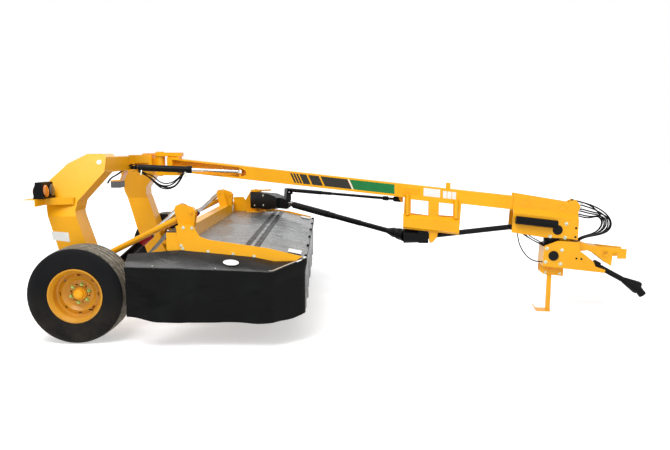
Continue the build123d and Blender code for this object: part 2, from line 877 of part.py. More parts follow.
# Swivelling lower frame of the hitch, with its gearbox and the stand's bracket
frame_bottom_back = 456.0
frame_tip = (4402.0, 402.0)
lower_hub = (3924.0, 558.0)
stand_hinge = (3909.0, 412.0)
stand_bracket_half = 50.0
lower_side = [
    (3825, frame_bottom_back),
    (3837, 652),
    (3958, neck_split + 12),
    (4157, 692),
    (4170, 606),
    (4232, 560),
    (4296, 505),
    (4312, 462),
    (frame_tip[0], 432),
    frame_tip,
]
with BuildPart() as hitch_frame:
    for y_from in (-housing_half_width, housing_half_width - housing_wall):
        side_slab(tongue, y_from, y_from + housing_wall, lower_side)
    inner_half = housing_half_width - housing_wall
    side_slab(
        tongue,
        -inner_half,
        inner_half,
        [
            (3826, frame_bottom_back),
            (4180, frame_bottom_back - 34),
            (4180, frame_bottom_back - 24),
            (3836, frame_bottom_back + 10),
            (3845, 640),
            (3837, 640),
        ],
    )
    side_slab(tongue, -inner_half, inner_half, [(4147, 600), (4157, 600), (4157, 692), (4147, 692)])
    for y_from in (-stand_bracket_half, stand_bracket_half - housing_wall):
        side_slab(
            tongue,
            y_from,
            y_from + housing_wall,
            [(3816, frame_bottom_back + 2), (3816, 392), (3852, 366), (4036, 350), (4036, frame_bottom_back - 22)],
        )
    cross_bar(tongue, stand_hinge, -stand_bracket_half - 8, stand_bracket_half + 8, 10)
    cross_bar(tongue, lower_hub, -200, 200, gear_hub_radius + 2, mode=Mode.SUBTRACT)
save(hitch_frame, "hitch_frame")
pto_joint = (4290.0, 490.0)
pto_fork = 28.0
pto_pin_radius = 10.0
with BuildPart() as lower_gearbox:
    side_slab(tongue, -inner_half, inner_half, box_outline(3850, 4070, 480, 640), 16.0)
    bar(tongue, (swivel_x, 0, 638), (swivel_x, 0, neck_split - hitch_gap), neck_radius)
    cross_bar(tongue, lower_hub, -housing_half_width - 9, housing_half_width + 9, gear_hub_radius)
    bar(
        tongue,
        (swivel_x, 0, king_pin_low - 4),
        (swivel_x, 0, neck_split),
        king_pin_radius + running_fit,
        mode=Mode.SUBTRACT,
    )
    bar(tongue, (4068, 0, pto_joint[1]), (pto_joint[0] - 74, 0, pto_joint[1]), 40)
    bar(tongue, (pto_joint[0] - 74, 0, pto_joint[1]), (pto_joint[0] - 38, 0, pto_joint[1]), 26)
    for y_from in (-pto_fork - 8, pto_fork):
        side_slab(
            tongue,
            y_from,
            y_from + 8,
            box_outline(pto_joint[0] - 52, pto_joint[0] + 14, pto_joint[1] - 20, pto_joint[1] + 20),
        )
    side_slab(
        tongue,
        -pto_fork - 8,
        pto_fork + 8,
        box_outline(pto_joint[0] - 52, pto_joint[0] - 40, pto_joint[1] - 20, pto_joint[1] + 20),
    )
    cross_bar(tongue, pto_joint, -pto_fork - 12, pto_fork + 12, pto_pin_radius)
save(lower_gearbox, "lower_gearbox")

# Yoke that pins to the tractor's drawbar
yoke_half = 86.0
yoke_plate = 12.0
hitch_hole = (4404.0, 588.0)
hitch_hole_radius = 22.0
yoke_side = [
    (4157, 600),
    (4157, neck_split + 8),
    (4266, 660),
    (4601, 628),
    (4598, 536),
    (4520, 535),
    (4518, 596),
    (4474, 594),
    (4472, 526),
    (4465, 464),
    (4440, 478),
    (4300, 586),
    (4240, 610),
]
with BuildPart() as hitch_yoke:
    for y_from in (-yoke_half, yoke_half - yoke_plate):
        side_slab(tongue, y_from, y_from + yoke_plate, yoke_side)
    side_slab(
        tongue,
        -yoke_half + yoke_plate,
        yoke_half - yoke_plate,
        [(4157, neck_split + 8), (4266, 660), (4330, 654), (4330, 644), (4266, 650), (4157, neck_split - 4)],
    )
    for side in (-1, 1):
        cross_bar(tongue, hitch_hole, side * yoke_half, side * (yoke_half + 8), 34)
    cross_bar(tongue, hitch_hole, -150, 150, hitch_hole_radius, mode=Mode.SUBTRACT)
save(hitch_yoke, "hitch_yoke")

# Drive shaft to the tractor, hanging from its joint in the hitch
pto_slope = 28.5
pto_stations = (
    (4.0, 16.0, 34.0, 16.0),
    (34.0, 40.0, 96.0, 40.0),
    (96.0, 26.0, 366.0, 26.0),
    (366.0, 30.0, 500.0, 60.0),
    (500.0, 60.0, 522.0, 60.0),
)
pto_end_slope = 52.0
pto_end_length = 92.0
pto_end_radius = 36.0
spline_radius = 17.5
spline_depth = 62.0


def pto_point(distance):
    return (
        pto_joint[0] + distance * cos(radians(pto_slope)),
        0,
        pto_joint[1] - distance * sin(radians(pto_slope)),
    )


with BuildPart() as pto_shaft:
    for start, start_radius, end, end_radius in pto_stations:
        low = tongue.from_local_coords(Vector(*pto_point(start)))
        high = tongue.from_local_coords(Vector(*pto_point(end)))
        with BuildSketch(Plane(origin=low, z_dir=high - low)) as low_ring:
            Circle(start_radius)
        if start_radius == end_radius:
            extrude(low_ring.sketch, amount=end - start)
        else:
            with BuildSketch(Plane(origin=high, z_dir=high - low)) as high_ring:
                Circle(end_radius)
            loft([low_ring.sketch.faces()[0], high_ring.sketch.faces()[0]])
    cross_bar(tongue, pto_joint, -pto_fork + 3, pto_fork - 3, 19)
    cross_bar(tongue, pto_joint, -60, 60, pto_pin_radius + running_fit, mode=Mode.SUBTRACT)
    neck = pto_point(pto_stations[-1][2] - 14)
    tip = (
        neck[0] + pto_end_length * cos(radians(pto_end_slope)),
        0,
        neck[2] - pto_end_length * sin(radians(pto_end_slope)),
    )
    bar(tongue, neck, tip, pto_end_radius)
    mouth = (
        tip[0] - spline_depth * cos(radians(pto_end_slope)),
        0,
        tip[2] + spline_depth * sin(radians(pto_end_slope)),
    )
    past = (2 * tip[0] - mouth[0], 0, 2 * tip[2] - mouth[2])
    bar(tongue, mouth, past, spline_radius, mode=Mode.SUBTRACT)
save(pto_shaft, "pto_shaft")

# Stand that folds back under the tongue
stand_leg_half = 22.0
stand_leg_width = 40.0
foot_thickness = 8.0
foot_half = 62.0
with BuildPart() as stand:
    side_slab(
        tongue,
        -stand_leg_width,
        stand_leg_width,
        [
            (stand_hinge[0] - stand_leg_half, stand_hinge[1]),
            (stand_hinge[0] + stand_leg_half, stand_hinge[1]),
            (stand_hinge[0] + stand_leg_half - 6, foot_thickness - 1),
            (stand_hinge[0] - stand_leg_half - 6, foot_thickness - 1),
        ],
    )
    cross_bar(tongue, stand_hinge, -stand_leg_width, stand_leg_width, stand_leg_half)
    side_slab(
        tongue,
        -stand_leg_width + 7,
        stand_leg_width + 1,
        [
            (stand_hinge[0] - stand_leg_half - 40, stand_hinge[1] - 60),
            (stand_hinge[0] + stand_leg_half - 8, stand_hinge[1] - 60),
            (stand_hinge[0] + stand_leg_half - 13, foot_thickness),
            (stand_hinge[0] - stand_leg_half - 40, foot_thickness),
        ],
        mode=Mode.SUBTRACT,
    )
    side_slab(
        tongue,
        -foot_half,
        foot_half,
        [
            (3806, 0),
            (3925, 0),
            (3925, foot_thickness),
            (3810, foot_thickness),
            (3778, 44),
            (3770, 38),
        ],
    )
    cross_bar(tongue, stand_hinge, -200, 200, 10 + running_fit, mode=Mode.SUBTRACT)
save(stand, "stand")

# Swing ram between the cross beam and the boom
eye_world = tongue.from_local_coords(Vector(swing_eye[0], swing_eye[1], swing_eye_z))
anchor_world = carriage.from_local_coords(Vector(swing_anchor[0], swing_anchor[1], swing_anchor_z))
ram_length = (eye_world - anchor_world).length
swing_line = Plane(origin=anchor_world, z_dir=eye_world - anchor_world)
swing_barrel_end = 560.0
swing_barrel_radius = 32.0
swing_rod_radius = 17.0
swing_rod_tail = 260.0


def on_line(line, start, end, radius, mode=Mode.ADD):
    """A round bar along a line, between two distances from its start."""
    with BuildSketch(line.offset(start)) as ring:
        Circle(radius)
    extrude(ring.sketch, amount=end - start, mode=mode)


def upright_eye(centre, height, radius, mode=Mode.ADD):
    """A ring with an upright axis round a point."""
    with BuildSketch(Plane(origin=centre - Vector(0, 0, height / 2), z_dir=(0, 0, 1))) as ring:
        Circle(radius)
    extrude(ring.sketch, amount=height, mode=mode)


with BuildPart() as swing_barrel:
    upright_eye(anchor_world, 2 * swing_eye_half, swing_lug_radius - 2)
    on_line(swing_line, 14, 60, 15)
    on_line(swing_line, 46, swing_barrel_end - 40, swing_barrel_radius)
    on_line(swing_line, swing_barrel_end - 40, swing_barrel_end, swing_barrel_radius + 4)
    on_line(swing_line, swing_rod_tail - 50, swing_barrel_end + 1, swing_rod_radius + body_gap, mode=Mode.SUBTRACT)
    upright_eye(anchor_world, 100, swing_pin_radius + running_fit, mode=Mode.SUBTRACT)
save(swing_barrel, "swing_barrel")
with BuildPart() as swing_rod:
    on_line(swing_line, swing_rod_tail, ram_length - swing_eye_bore - 2, swing_rod_radius)
    upright_eye(eye_world, 32, swing_eye_radius)
    upright_eye(eye_world, 60, swing_eye_bore, mode=Mode.SUBTRACT)
save(swing_rod, "swing_rod")

# Lift linkage: parallel upper and lower links, and the rams that raise the header
open_fit = 1.5
ram_open_fit = 11.5
ram_eye_wall = 11.0
link_eye_radius = 30.0
link_eye_half = lug_half_gap - 2.0
thread_radius = 14.0
thread_length = 118.0
lower_link_radius = 26.0
brace_share = 300.0
brace_radius = 30.0
with BuildPart() as upper_links:
    for side, hand in hands:
        y = side * link_plane
        front = toward(upper_link_front, upper_link_back, thread_length + link_eye_radius)
        back = upper_link_back
        bar(carriage, (back[0], y, back[1]), (front[0], y, front[1]), link_tube_radius - 4)
        bar(carriage, (front[0], y, front[1]), (upper_link_front[0], y, upper_link_front[1]), thread_radius)
        for spot, fit in ((upper_link_back, running_fit), (upper_link_front, open_fit)):
            cross_bar(carriage, spot, y - link_eye_half, y + link_eye_half, link_eye_radius)
        for spot, fit in ((upper_link_back, running_fit), (upper_link_front, open_fit)):
            cross_bar(carriage, spot, y - 60, y + 60, link_pin_radius + fit, mode=Mode.SUBTRACT)
save(upper_links, "upper_links")
with BuildPart() as lower_links:
    brace_spot = toward(lower_link_back, lower_link_front, brace_share)
    for side, hand in hands:
        y = side * link_plane
        bar(
            carriage,
            (lower_link_back[0], y, lower_link_back[1]),
            (lower_link_front[0], y, lower_link_front[1]),
            lower_link_radius,
        )
        for spot in (lower_link_back, lower_link_front):
            cross_bar(carriage, spot, y - link_eye_half, y + link_eye_half, link_eye_radius)
            cross_bar(carriage, spot, y - 60, y + 60, link_pin_radius + running_fit, mode=Mode.SUBTRACT)
    cross_bar(carriage, brace_spot, -link_plane, link_plane, brace_radius)
save(lower_links, "lower_links")
lift_length = distance_between(ram_back, ram_front)
lift_barrel_end = 548.0
lift_lock_start = 418.0
lift_barrel_radius = 34.0
lift_rod_radius = 20.0
lift_rod_tail = 330.0
lift_rod_room = 90.0
lift_eye_half = lug_half_gap - 3.0
lift_lines = []
for side, hand in hands:
    start = carriage.from_local_coords(Vector(ram_back[0], side * ram_plane, ram_back[1]))
    end = carriage.from_local_coords(Vector(ram_front[0], side * ram_plane, ram_front[1]))
    lift_lines.append((side * ram_plane, Plane(origin=start, z_dir=end - start)))
with BuildPart() as lift_barrels:
    for y, line in lift_lines:
        cross_bar(carriage, ram_back, y - lift_eye_half, y + lift_eye_half, link_eye_radius + 6)
        on_line(line, 20, lift_barrel_end, lift_barrel_radius - 4)
        on_line(line, 46, lift_lock_start, lift_barrel_radius)
        cross_bar(carriage, ram_back, y - 60, y + 60, link_pin_radius + running_fit, mode=Mode.SUBTRACT)
        on_line(line, lift_rod_tail - lift_rod_room, lift_barrel_end + 1, lift_rod_radius + body_gap, mode=Mode.SUBTRACT)
save(lift_barrels, "lift_barrels")
with BuildPart() as lift_rods:
    for y, line in lift_lines:
        on_line(line, lift_rod_tail, lift_length, lift_rod_radius)
        on_line(line, lift_length - 130, lift_length - 30, lift_rod_radius + 8)
        cross_bar(carriage, ram_front, y - lift_eye_half, y + lift_eye_half, link_pin_radius + ram_open_fit + ram_eye_wall)
        cross_bar(carriage, ram_front, y - 60, y + 60, link_pin_radius + ram_open_fit, mode=Mode.SUBTRACT)
save(lift_rods, "lift_rods")

# Header's cross beam with the three lugs a side that take the links and the ram
link_notch = [(433, 907), (433, 840), (497, 907)]
upper_lug = [(434, 900), (398, 1052), (412, 1084), (446, 1096), (556, 1062), (580, 1030), (566, 900)]
upper_lug_short = [(434, 900), (398, 1052), (412, 1084), (446, 1096), (480, 1080), (534, 900)]
lower_lug = [(470, 780), (534, 780), (600, 690), (598, 650), (570, 634), (536, 650)]
with BuildPart() as header_beam:
    side_slab(
        carriage,
        -end_plate_y + 18,
        end_plate_y - 18,
        box_outline(header_beam_back, header_beam_front, header_beam_top - header_beam_depth, header_beam_top),
        6.0,
    )
    for side, hand in hands:
        side_slab(
            carriage,
            side * (lug_planes[1] + lug_thickness),
            side * lug_planes[2],
            link_notch,
            mode=Mode.SUBTRACT,
        )
        for plane_y, outlines in zip(lug_planes, ((upper_lug_short,), (upper_lug, lower_lug), (upper_lug, lower_lug))):
            for outline in outlines:
                side_slab(carriage, side * plane_y, side * (plane_y + lug_thickness), outline)
        for spot, y_from, y_to in (
            (ram_front, lug_planes[0] - 8, lug_planes[1] + lug_thickness + 8),
            (upper_link_front, lug_planes[1] - 8, lug_planes[2] + lug_thickness + 8),
            (lower_link_front, lug_planes[1] - 8, lug_planes[2] + lug_thickness + 8),
        ):
            cross_bar(carriage, spot, side * y_from, side * y_to, link_pin_radius)
save(header_beam, "header_beam")

# End plates that hang the cutterbar, and the rails that carry the deck and the skirts
panel_thickness = 8.0
plate_thickness = 10.0
end_plate_outline = [
    (434, 906),
    (534, 906),
    (700, 850),
    (900, 822),
    (1230, 770),
    (1400, 730),
    (1400, 674),
    (1216, 674),
    (960, 640),
    (905, 520),
    (905, bar_bottom + 128),
    (940, bar_bottom + 60),
    (bar_back, bar_bottom + 56),
    (bar_back, bar_bottom + 14),
    (850, bar_bottom + 14),
    (790, bar_bottom + 98),
    (700, 520),
    (520, 700),
    (434, 770),
]
panel_outline = [
    (512, 958),
    (535, 968),
    (643, 968),
    (702, 874),
    (769, 850),
    (1245, 780),
    (1515, 714),
    (1440, 666),
    (1216, 666),
    (1121, 705),
    (542, 764),
]
rail_radius = 12.0
rail_y = header_half_width - skirt_thickness - rail_radius - 0.3
rail_stations = ((150.0, 640.0), (640.0, 622.0), (1285.0, 598.0))
with BuildPart() as header_frame:
    for side, hand in hands:
        side_slab(
            carriage,
            side * (end_plate_y - panel_thickness - plate_thickness),
            side * (end_plate_y - panel_thickness),
            end_plate_outline,
        )
        for (x_low, z_low), (x_high, z_high) in zip(rail_stations, rail_stations[1:]):
            bar(carriage, (x_low, side * rail_y, z_low), (x_high, side * rail_y, z_high), rail_radius)
        bar(
            carriage,
            (rail_stations[-1][0] - 6, side * rail_y, rail_stations[-1][1]),
            (header_front - 22, side * (header_half_width - corner_cut_y - 12), deck_front_z - 24),
            rail_radius,
        )
        for x, z in ((640.0, 622.0), (1180.0, 602.0)):
            bar(carriage, (x, side * (end_plate_y - panel_thickness - 4), z + 60), (x, side * rail_y, z), rail_radius - 2)
    rail_bar_y = header_half_width - corner_cut_y
    side_slab(carriage, -rail_bar_y + 8, rail_bar_y - 8, box_outline(header_front - 46, header_front - 8, deck_front_z - 38, deck_front_z - 6))
    side_slab(
        carriage,
        -end_plate_y + panel_thickness,
        end_plate_y - panel_thickness,
        box_outline(deck_step_x - 40, deck_step_x + 30, deck_rear_z - 50, deck_rear_z - 12),
    )
    for y in (-900.0, 0.0, 900.0):
        side_slab(
            carriage,
            y - 15,
            y + 15,
            [
                (header_beam_front + 2, 750),
                (header_beam_front + 2, deck_rear_z - 2),
                (deck_step_x, deck_rear_z - 2),
                (header_front - 20, deck_front_z - 4),
                (header_front - 20, deck_front_z - 34),
                (deck_step_x, deck_rear_z - 34),
            ],
        )
save(header_frame, "header_frame")
with BuildPart() as end_panels:
    for side, hand in hands:
        side_slab(carriage, side * (end_plate_y - panel_thickness), side * end_plate_y, panel_outline)
save(end_panels, "end_panels")

# Deck cover, the skirts that hang from it, and the rubber between the end panels and the skirts
cover_half = end_plate_y - panel_thickness - plate_thickness - 0.5
cut_slope = corner_cut_x / corner_cut_y
cover_corner_x = header_front - 10 - (cover_half - (header_half_width - corner_cut_y)) * cut_slope
with BuildPart() as deck_cover:
    side_slab(
        carriage,
        -cover_half,
        cover_half,
        [
            (header_beam_front, deck_rear_z - 2),
            (deck_step_x, deck_rear_z - 2),
            (header_front - 7, deck_front_z - 4),
            (header_front - 7, deck_front_z),
            (deck_step_x, deck_rear_z + deck_thickness - 2),
            (header_beam_front, deck_rear_z + deck_thickness - 2),
        ],
    )
    plan_slab(
        carriage,
        600,
        800,
        [
            (header_beam_front - 1, -cover_half - 1),
            (cover_corner_x, -cover_half - 1),
            (header_front - 7, -rail_bar_y + 6),
            (header_front - 7, rail_bar_y - 6),
            (cover_corner_x, cover_half + 1),
            (header_beam_front - 1, cover_half + 1),
        ],
        mode=Mode.INTERSECT,
    )
    for x in (deck_step_x - 22.0, deck_step_x + 8.0):
        side_slab(carriage, -cover_half + 20, cover_half - 20, box_outline(x, x + 16, deck_rear_z - 1, deck_rear_z + 8))
save(deck_cover, "deck_cover")
skirt_outer = [
    (header_rear, -header_half_width),
    (header_front - corner_cut_x, -header_half_width),
    (header_front, -rail_bar_y),
    (header_front, rail_bar_y),
    (header_front - corner_cut_x, header_half_width),
    (header_rear, header_half_width),
]
skirt_inner = [
    (header_rear, header_half_width - skirt_thickness),
    (header_front - corner_cut_x - 2, header_half_width - skirt_thickness),
    (header_front - skirt_thickness, rail_bar_y - 2),
    (header_front - skirt_thickness, -rail_bar_y + 2),
    (header_front - corner_cut_x - 2, -header_half_width + skirt_thickness),
    (header_rear, -header_half_width + skirt_thickness),
]
with BuildPart() as skirts:
    plan_slab(carriage, skirt_bottom, deck_front_z + 10, skirt_outer + skirt_inner)
    side_slab(
        carriage,
        -header_half_width - 10,
        header_half_width + 10,
        [
            (header_rear - 10, skirt_bottom - 10),
            (header_front + 10, skirt_bottom - 10),
            (header_front + 10, deck_front_z),
            (header_front, deck_front_z),
            (header_front - corner_cut_x, skirt_top - 43),
            (header_rear - 10, skirt_top),
        ],
        mode=Mode.INTERSECT,
    )
save(skirts, "skirts")
cover_rim = header_half_width - 1
cover_stations = (
    (header_rear, end_plate_y + 40, 742.0, cover_rim, 656.0),
    (542.0, end_plate_y, 764.0, cover_rim, 642.0),
    (1121.0, end_plate_y, 705.0, cover_rim, 620.0),
    (1290.0, end_plate_y, 668.0, cover_rim - 1, 614.0),
    (1470.0, end_plate_y, 672.0, end_plate_y + 14, 670.0),
)
cover_sheet = 5.0
with BuildPart() as end_covers:
    for side, hand in hands:
        for low, high in zip(cover_stations, cover_stations[1:]):
            rings = []
            for x, y_in, z_in, y_out, z_out in (low, high):
                with BuildSketch(facing(carriage, x)) as ring:
                    with BuildLine():
                        Polyline(
                            (side * y_in, z_in),
                            (side * y_out, z_out),
                            (side * y_out, z_out + cover_sheet),
                            (side * y_in, z_in + cover_sheet),
                            close=True,
                        )
                    make_face()
                rings.append(ring.sketch.faces()[0])
            loft(rings, ruled=True)
save(end_covers, "end_covers")
with BuildPart() as rear_flaps:
    for side, hand in hands:
        side_slab(
            carriage,
            side * (end_plate_y - 300),
            side * (end_plate_y - panel_thickness - plate_thickness - 1),
            [(275, 733), (434, 912), (524, 912), (524, header_beam_top), (437, header_beam_top), (281, 731)],
        )
save(rear_flaps, "rear_flaps")

# Cutterbar on its skids, with a gear pod under each disc
pod_radius = 74.0
pod_height = 9.0
skid_half = 150.0
disc_spots = [((index - (disc_count - 1) / 2) * disc_pitch) for index in range(disc_count)]
disc_bottom = bar_bottom + bar_height + disc_lift
spindle_pin = 16.0
with BuildPart() as cutterbar:
    side_slab(
        carriage,
        -bar_half,
        bar_half,
        [
            (bar_back, bar_bottom + 14),
            (bar_back + 16, bar_bottom),
            (bar_front - 46, bar_bottom),
            (bar_front, bar_bottom + 30),
            (bar_front, bar_bottom + 42),
            (bar_front - 26, bar_bottom + bar_height),
            (bar_back + 10, bar_bottom + bar_height),
            (bar_back, bar_bottom + bar_height - 10),
        ],
    )
    for y in disc_spots:
        bar(carriage, (disc_x, y, bar_bottom + 40), (disc_x, y, bar_bottom + bar_height + pod_height), pod_radius)
        bar(carriage, (disc_x, y, bar_bottom + 60), (disc_x, y, disc_bottom + 5), spindle_pin)
        side_slab(
            carriage,
            y - skid_half,
            y + skid_half,
            [
                (bar_back - 4, bar_bottom - 10),
                (bar_back + 26, bar_bottom - skid_depth),
                (bar_back + 120, bar_bottom - skid_depth),
                (bar_front - 16, bar_bottom + 8),
                (bar_front - 28, bar_bottom + 12),
                (bar_front - 54, bar_bottom + 3),
                (bar_back + 4, bar_bottom + 3),
            ],
        )
save(cutterbar, "cutterbar")

# Oval cutting discs with two knives each, neighbours a quarter turn apart
hub_gap = 1.5
for index, y in enumerate(disc_spots):
    phase = 90 * (index % 2)
    with BuildPart() as disc:
        with BuildSketch(level(carriage, disc_bottom)) as blank:
            with Locations((disc_x, y)):
                Ellipse(disc_major, disc_minor, rotation=phase)
        extrude(blank.sketch, amount=disc_thickness)
        hub_low = bar_bottom + bar_height + pod_height + hub_gap
        bar(carriage, (disc_x, y, hub_low), (disc_x, y, disc_bottom + 1), 44)
        with BuildSketch(level(carriage, disc_bottom + disc_thickness - 1)) as cone_foot:
            with Locations((disc_x, y)):
                Circle(112)
        with BuildSketch(level(carriage, disc_bottom + disc_thickness + 34)) as cone_top:
            with Locations((disc_x, y)):
                Circle(52)
        loft([cone_foot.sketch.faces()[0], cone_top.sketch.faces()[0]])
        with BuildSketch(level(carriage, disc_bottom - knife_thickness)) as blades:
            with Locations(Location((disc_x, y), phase)):
                with GridLocations(2 * (knife_tip + 130) / 2, 0, 2, 1):
                    Rectangle(knife_tip - 130, knife_width)
        extrude(blades.sketch, amount=knife_thickness + 1)
        bar(carriage, (disc_x, y, hub_low - 1), (disc_x, y, disc_bottom + 6), spindle_pin + running_fit, mode=Mode.SUBTRACT)
    save(disc, f"disc_{index + 1}")

# Bracket and pedestal that hold the swivelling drive box over the header's left end
swivel_spot = (swivel_drive_x, swivel_drive_y)
bracket_back = swivel_drive_x - 225
bracket_heel = swivel_drive_x - 148
arm_back = swivel_drive_x - 68
arm_front = swivel_drive_x + 61
clamp_z = 1040.0
clamp_thickness = 24.0
swivel_pin = 20.0
pedestal_top = 832.0
box_bottom = 838.0
box_top = 1034.0
box_half = 74.0
with BuildPart() as swivel_bracket:
    side_slab(
        carriage,
        end_plate_y,
        end_plate_y + 12,
        [
            (bracket_back, 923),
            (bracket_heel, 929),
            (arm_back, 1064),
            (arm_front, 1064),
            (arm_front - 3, 790),
            (arm_back - 3, 790),
            (bracket_back, 800),
        ],
    )
    plan_slab(
        carriage,
        clamp_z,
        clamp_z + clamp_thickness,
        [
            (arm_back, swivel_drive_y),
            (arm_back, end_plate_y + 12),
            (arm_front, end_plate_y + 12),
            (arm_front + 7, swivel_drive_y),
        ],
    )
    bar(carriage, (*swivel_spot, clamp_z), (*swivel_spot, clamp_z + clamp_thickness), 68)
    plan_slab(
        carriage,
        deck_rear_z + 2,
        deck_rear_z + 12,
        box_outline(
            swivel_drive_x - 115,
            swivel_drive_x + 115,
            swivel_drive_y - 100,
            end_plate_y - panel_thickness - plate_thickness,
        ),
    )
    bar(carriage, (*swivel_spot, deck_rear_z + 3), (*swivel_spot, pedestal_top), 56)
    bar(carriage, (*swivel_spot, pedestal_top - 4), (*swivel_spot, clamp_z + clamp_thickness + 10), swivel_pin)
    bar(
        carriage,
        (swivel_drive_x + 55, swivel_drive_y + 70, clamp_z + 12),
        (swivel_drive_x + 185, swivel_drive_y + 76, clamp_z + 18),
        11,
    )
save(swivel_bracket, "swivel_bracket")

# Swivelling drive box, aimed at the middle gearbox
lug_start = 512.0
head_barrel = 46.0
head_pin = 13.0
head_low = 876.0
head_high = 974.0
with BuildPart() as drive_box:
    side_slab(
        aim,
        -box_half,
        box_half,
        [(0, box_bottom), (330, box_bottom), (440, 862), (lug_start, 884), (lug_start, 990), (470, 1008), (330, box_top), (0, box_top)],
    )
    bar(aim, (0, 0, box_bottom), (0, 0, box_top), box_half)
    for z_low in (head_low - 14, head_high + 1):
        plan_slab(aim, z_low, z_low + 13, box_outline(lug_start - 20, drive_box_length, -34, 34))
        bar(aim, (drive_box_length, 0, z_low), (drive_box_length, 0, z_low + 13), 34)
    bar(aim, (drive_box_length, 0, head_low - 18), (drive_box_length, 0, head_high + 18), head_pin)
    bar(aim, (0, 0, box_bottom - 1), (0, 0, box_top + 1), swivel_pin + running_fit, mode=Mode.SUBTRACT)
save(drive_box, "drive_box")
fork_reach = 74.0
fork_pin_x = drive_box_length + fork_reach
fork_half = 34.0
fork_plate = 8.0
steer_z = 1090.0
steer_pin_x = drive_box_length + 72.0
steer_fork_half = 26.0
steer_pin_inner = 20.0
with BuildPart() as drive_head:
    bar(aim, (drive_box_length, 0, head_low), (drive_box_length, 0, head_high), head_barrel)
    bar(aim, (drive_box_length, 0, head_low - 1), (drive_box_length, 0, head_high + 1), head_pin + running_fit, mode=Mode.SUBTRACT)
    front_slab(
        aim,
        drive_box_length + 24,
        drive_box_length + 36,
        box_outline(-fork_half - fork_plate, fork_half + fork_plate, head_low + 2, head_high - 2),
    )
    front_slab(
        aim,
        drive_box_length + 40,
        drive_box_length + 50,
        box_outline(-fork_half - fork_plate, fork_half + fork_plate, head_high - 4, steer_z - 32),
    )
    front_slab(
        aim,
        drive_box_length + 34,
        drive_box_length + 50,
        box_outline(-fork_half - fork_plate, fork_half + fork_plate, head_high - 14, head_high - 2),
    )
    for side, hand in hands:
        side_slab(
            aim,
            side * fork_half,
            side * (fork_half + fork_plate),
            box_outline(drive_box_length + 26, fork_pin_x + 14, drive_box_joint_z - 26, drive_box_joint_z + 26),
        )
        side_slab(
            aim,
            side * steer_fork_half,
            side * (steer_fork_half + fork_plate),
            box_outline(drive_box_length + 40, steer_pin_x + 16, steer_z - 50, steer_z + 20),
        )
        cross_bar(aim, (steer_pin_x, steer_z), side * steer_pin_inner, side * (steer_fork_half + fork_plate + 3), 8)
    cross_bar(aim, (fork_pin_x, drive_box_joint_z), -fork_half - fork_plate - 4, fork_half + fork_plate + 4, 10)
save(drive_head, "drive_head")

# Telescoping drive shaft between the drive box and the middle gearbox
cross_step = 44.0
shaft_start = aim.from_local_coords(Vector(fork_pin_x, 0, drive_box_joint_z))
shaft_goal = aim.from_local_coords(Vector(aim_run, 0, joint_spot[1]))
shaft_line = Plane(origin=shaft_start, x_dir=-aim.y_dir, z_dir=shaft_goal - shaft_start)
shaft_run = (shaft_goal - shaft_start).length
bell_end = shaft_run - 122.0
bell_length = 112.0
bell_radius = 50.0
rear_end = 688.0
first_start = 216.0
first_end = 776.0
second_start = 606.0
second_end = 1186.0
inner_start = 994.0
rear_radius, first_radius, second_radius, inner_radius = drive_tube_radii


def line_pin(line, distance, half, radius, mode=Mode.ADD):
    """A pin or eye across a line, at a distance from its start."""
    centre = line.from_local_coords(Vector(0, 0, distance))
    with BuildSketch(Plane(origin=centre - line.x_dir * half, z_dir=line.x_dir)) as ring:
        Circle(radius)
    extrude(ring.sketch, amount=2 * half, mode=mode)


with BuildPart() as drive_cross:
    line_pin(shaft_line, 0, fork_half - 3, 22)
    with BuildSketch(shaft_line.offset(4)) as neck_section:
        Rectangle(28, 24)
    extrude(neck_section.sketch, amount=cross_step - 4)
    line_pin(shaft_line, cross_step, 18, 18)
    line_pin(shaft_line, cross_step, 36, 9)
    line_pin(shaft_line, 0, 60, 10 + running_fit, mode=Mode.SUBTRACT)
save(drive_cross, "drive_cross")
with BuildPart() as drive_rear:
    on_line(shaft_line, cross_step + 34, rear_end, rear_radius)
    on_line(shaft_line, cross_step + 46, rear_end + 1, first_radius + tube_gap, mode=Mode.SUBTRACT)
    for side in (-1, 1):
        centre = shaft_line.from_local_coords(Vector(side * 26, 0, cross_step))
        with BuildSketch(Plane(origin=centre - shaft_line.x_dir * 5, z_dir=shaft_line.x_dir)) as cheek:
            Circle(19)
        extrude(cheek.sketch, amount=10)
        with BuildSketch(Plane(origin=centre, x_dir=shaft_line.x_dir, z_dir=shaft_line.z_dir)) as arm_section:
            Rectangle(10, 34)
        extrude(arm_section.sketch, amount=40)
    line_pin(shaft_line, cross_step, 60, 9 + running_fit, mode=Mode.SUBTRACT)
save(drive_rear, "drive_rear")
with BuildPart() as drive_first:
    on_line(shaft_line, first_start, first_end, first_radius)
    on_line(shaft_line, first_start - 1, first_end + 1, second_radius + tube_gap, mode=Mode.SUBTRACT)
save(drive_first, "drive_first")
with BuildPart() as drive_second:
    on_line(shaft_line, second_start, second_end, second_radius)
    on_line(shaft_line, second_start - 1, second_end + 1, inner_radius + tube_gap, mode=Mode.SUBTRACT)
save(drive_second, "drive_second")
with BuildPart() as drive_inner:
    on_line(shaft_line, inner_start, bell_end - bell_length + 20, inner_radius)
    with BuildSketch(shaft_line.offset(bell_end - bell_length)) as neck_ring:
        Circle(inner_radius + 4)
    with BuildSketch(shaft_line.offset(bell_end - 40)) as bell_ring:
        Circle(bell_radius)
    loft([neck_ring.sketch.faces()[0], bell_ring.sketch.faces()[0]])
    on_line(shaft_line, bell_end - 40, bell_end, bell_radius)
    on_line(shaft_line, bell_end - 34, bell_end + 1, bell_radius - 7, mode=Mode.SUBTRACT)
save(drive_inner, "drive_inner")

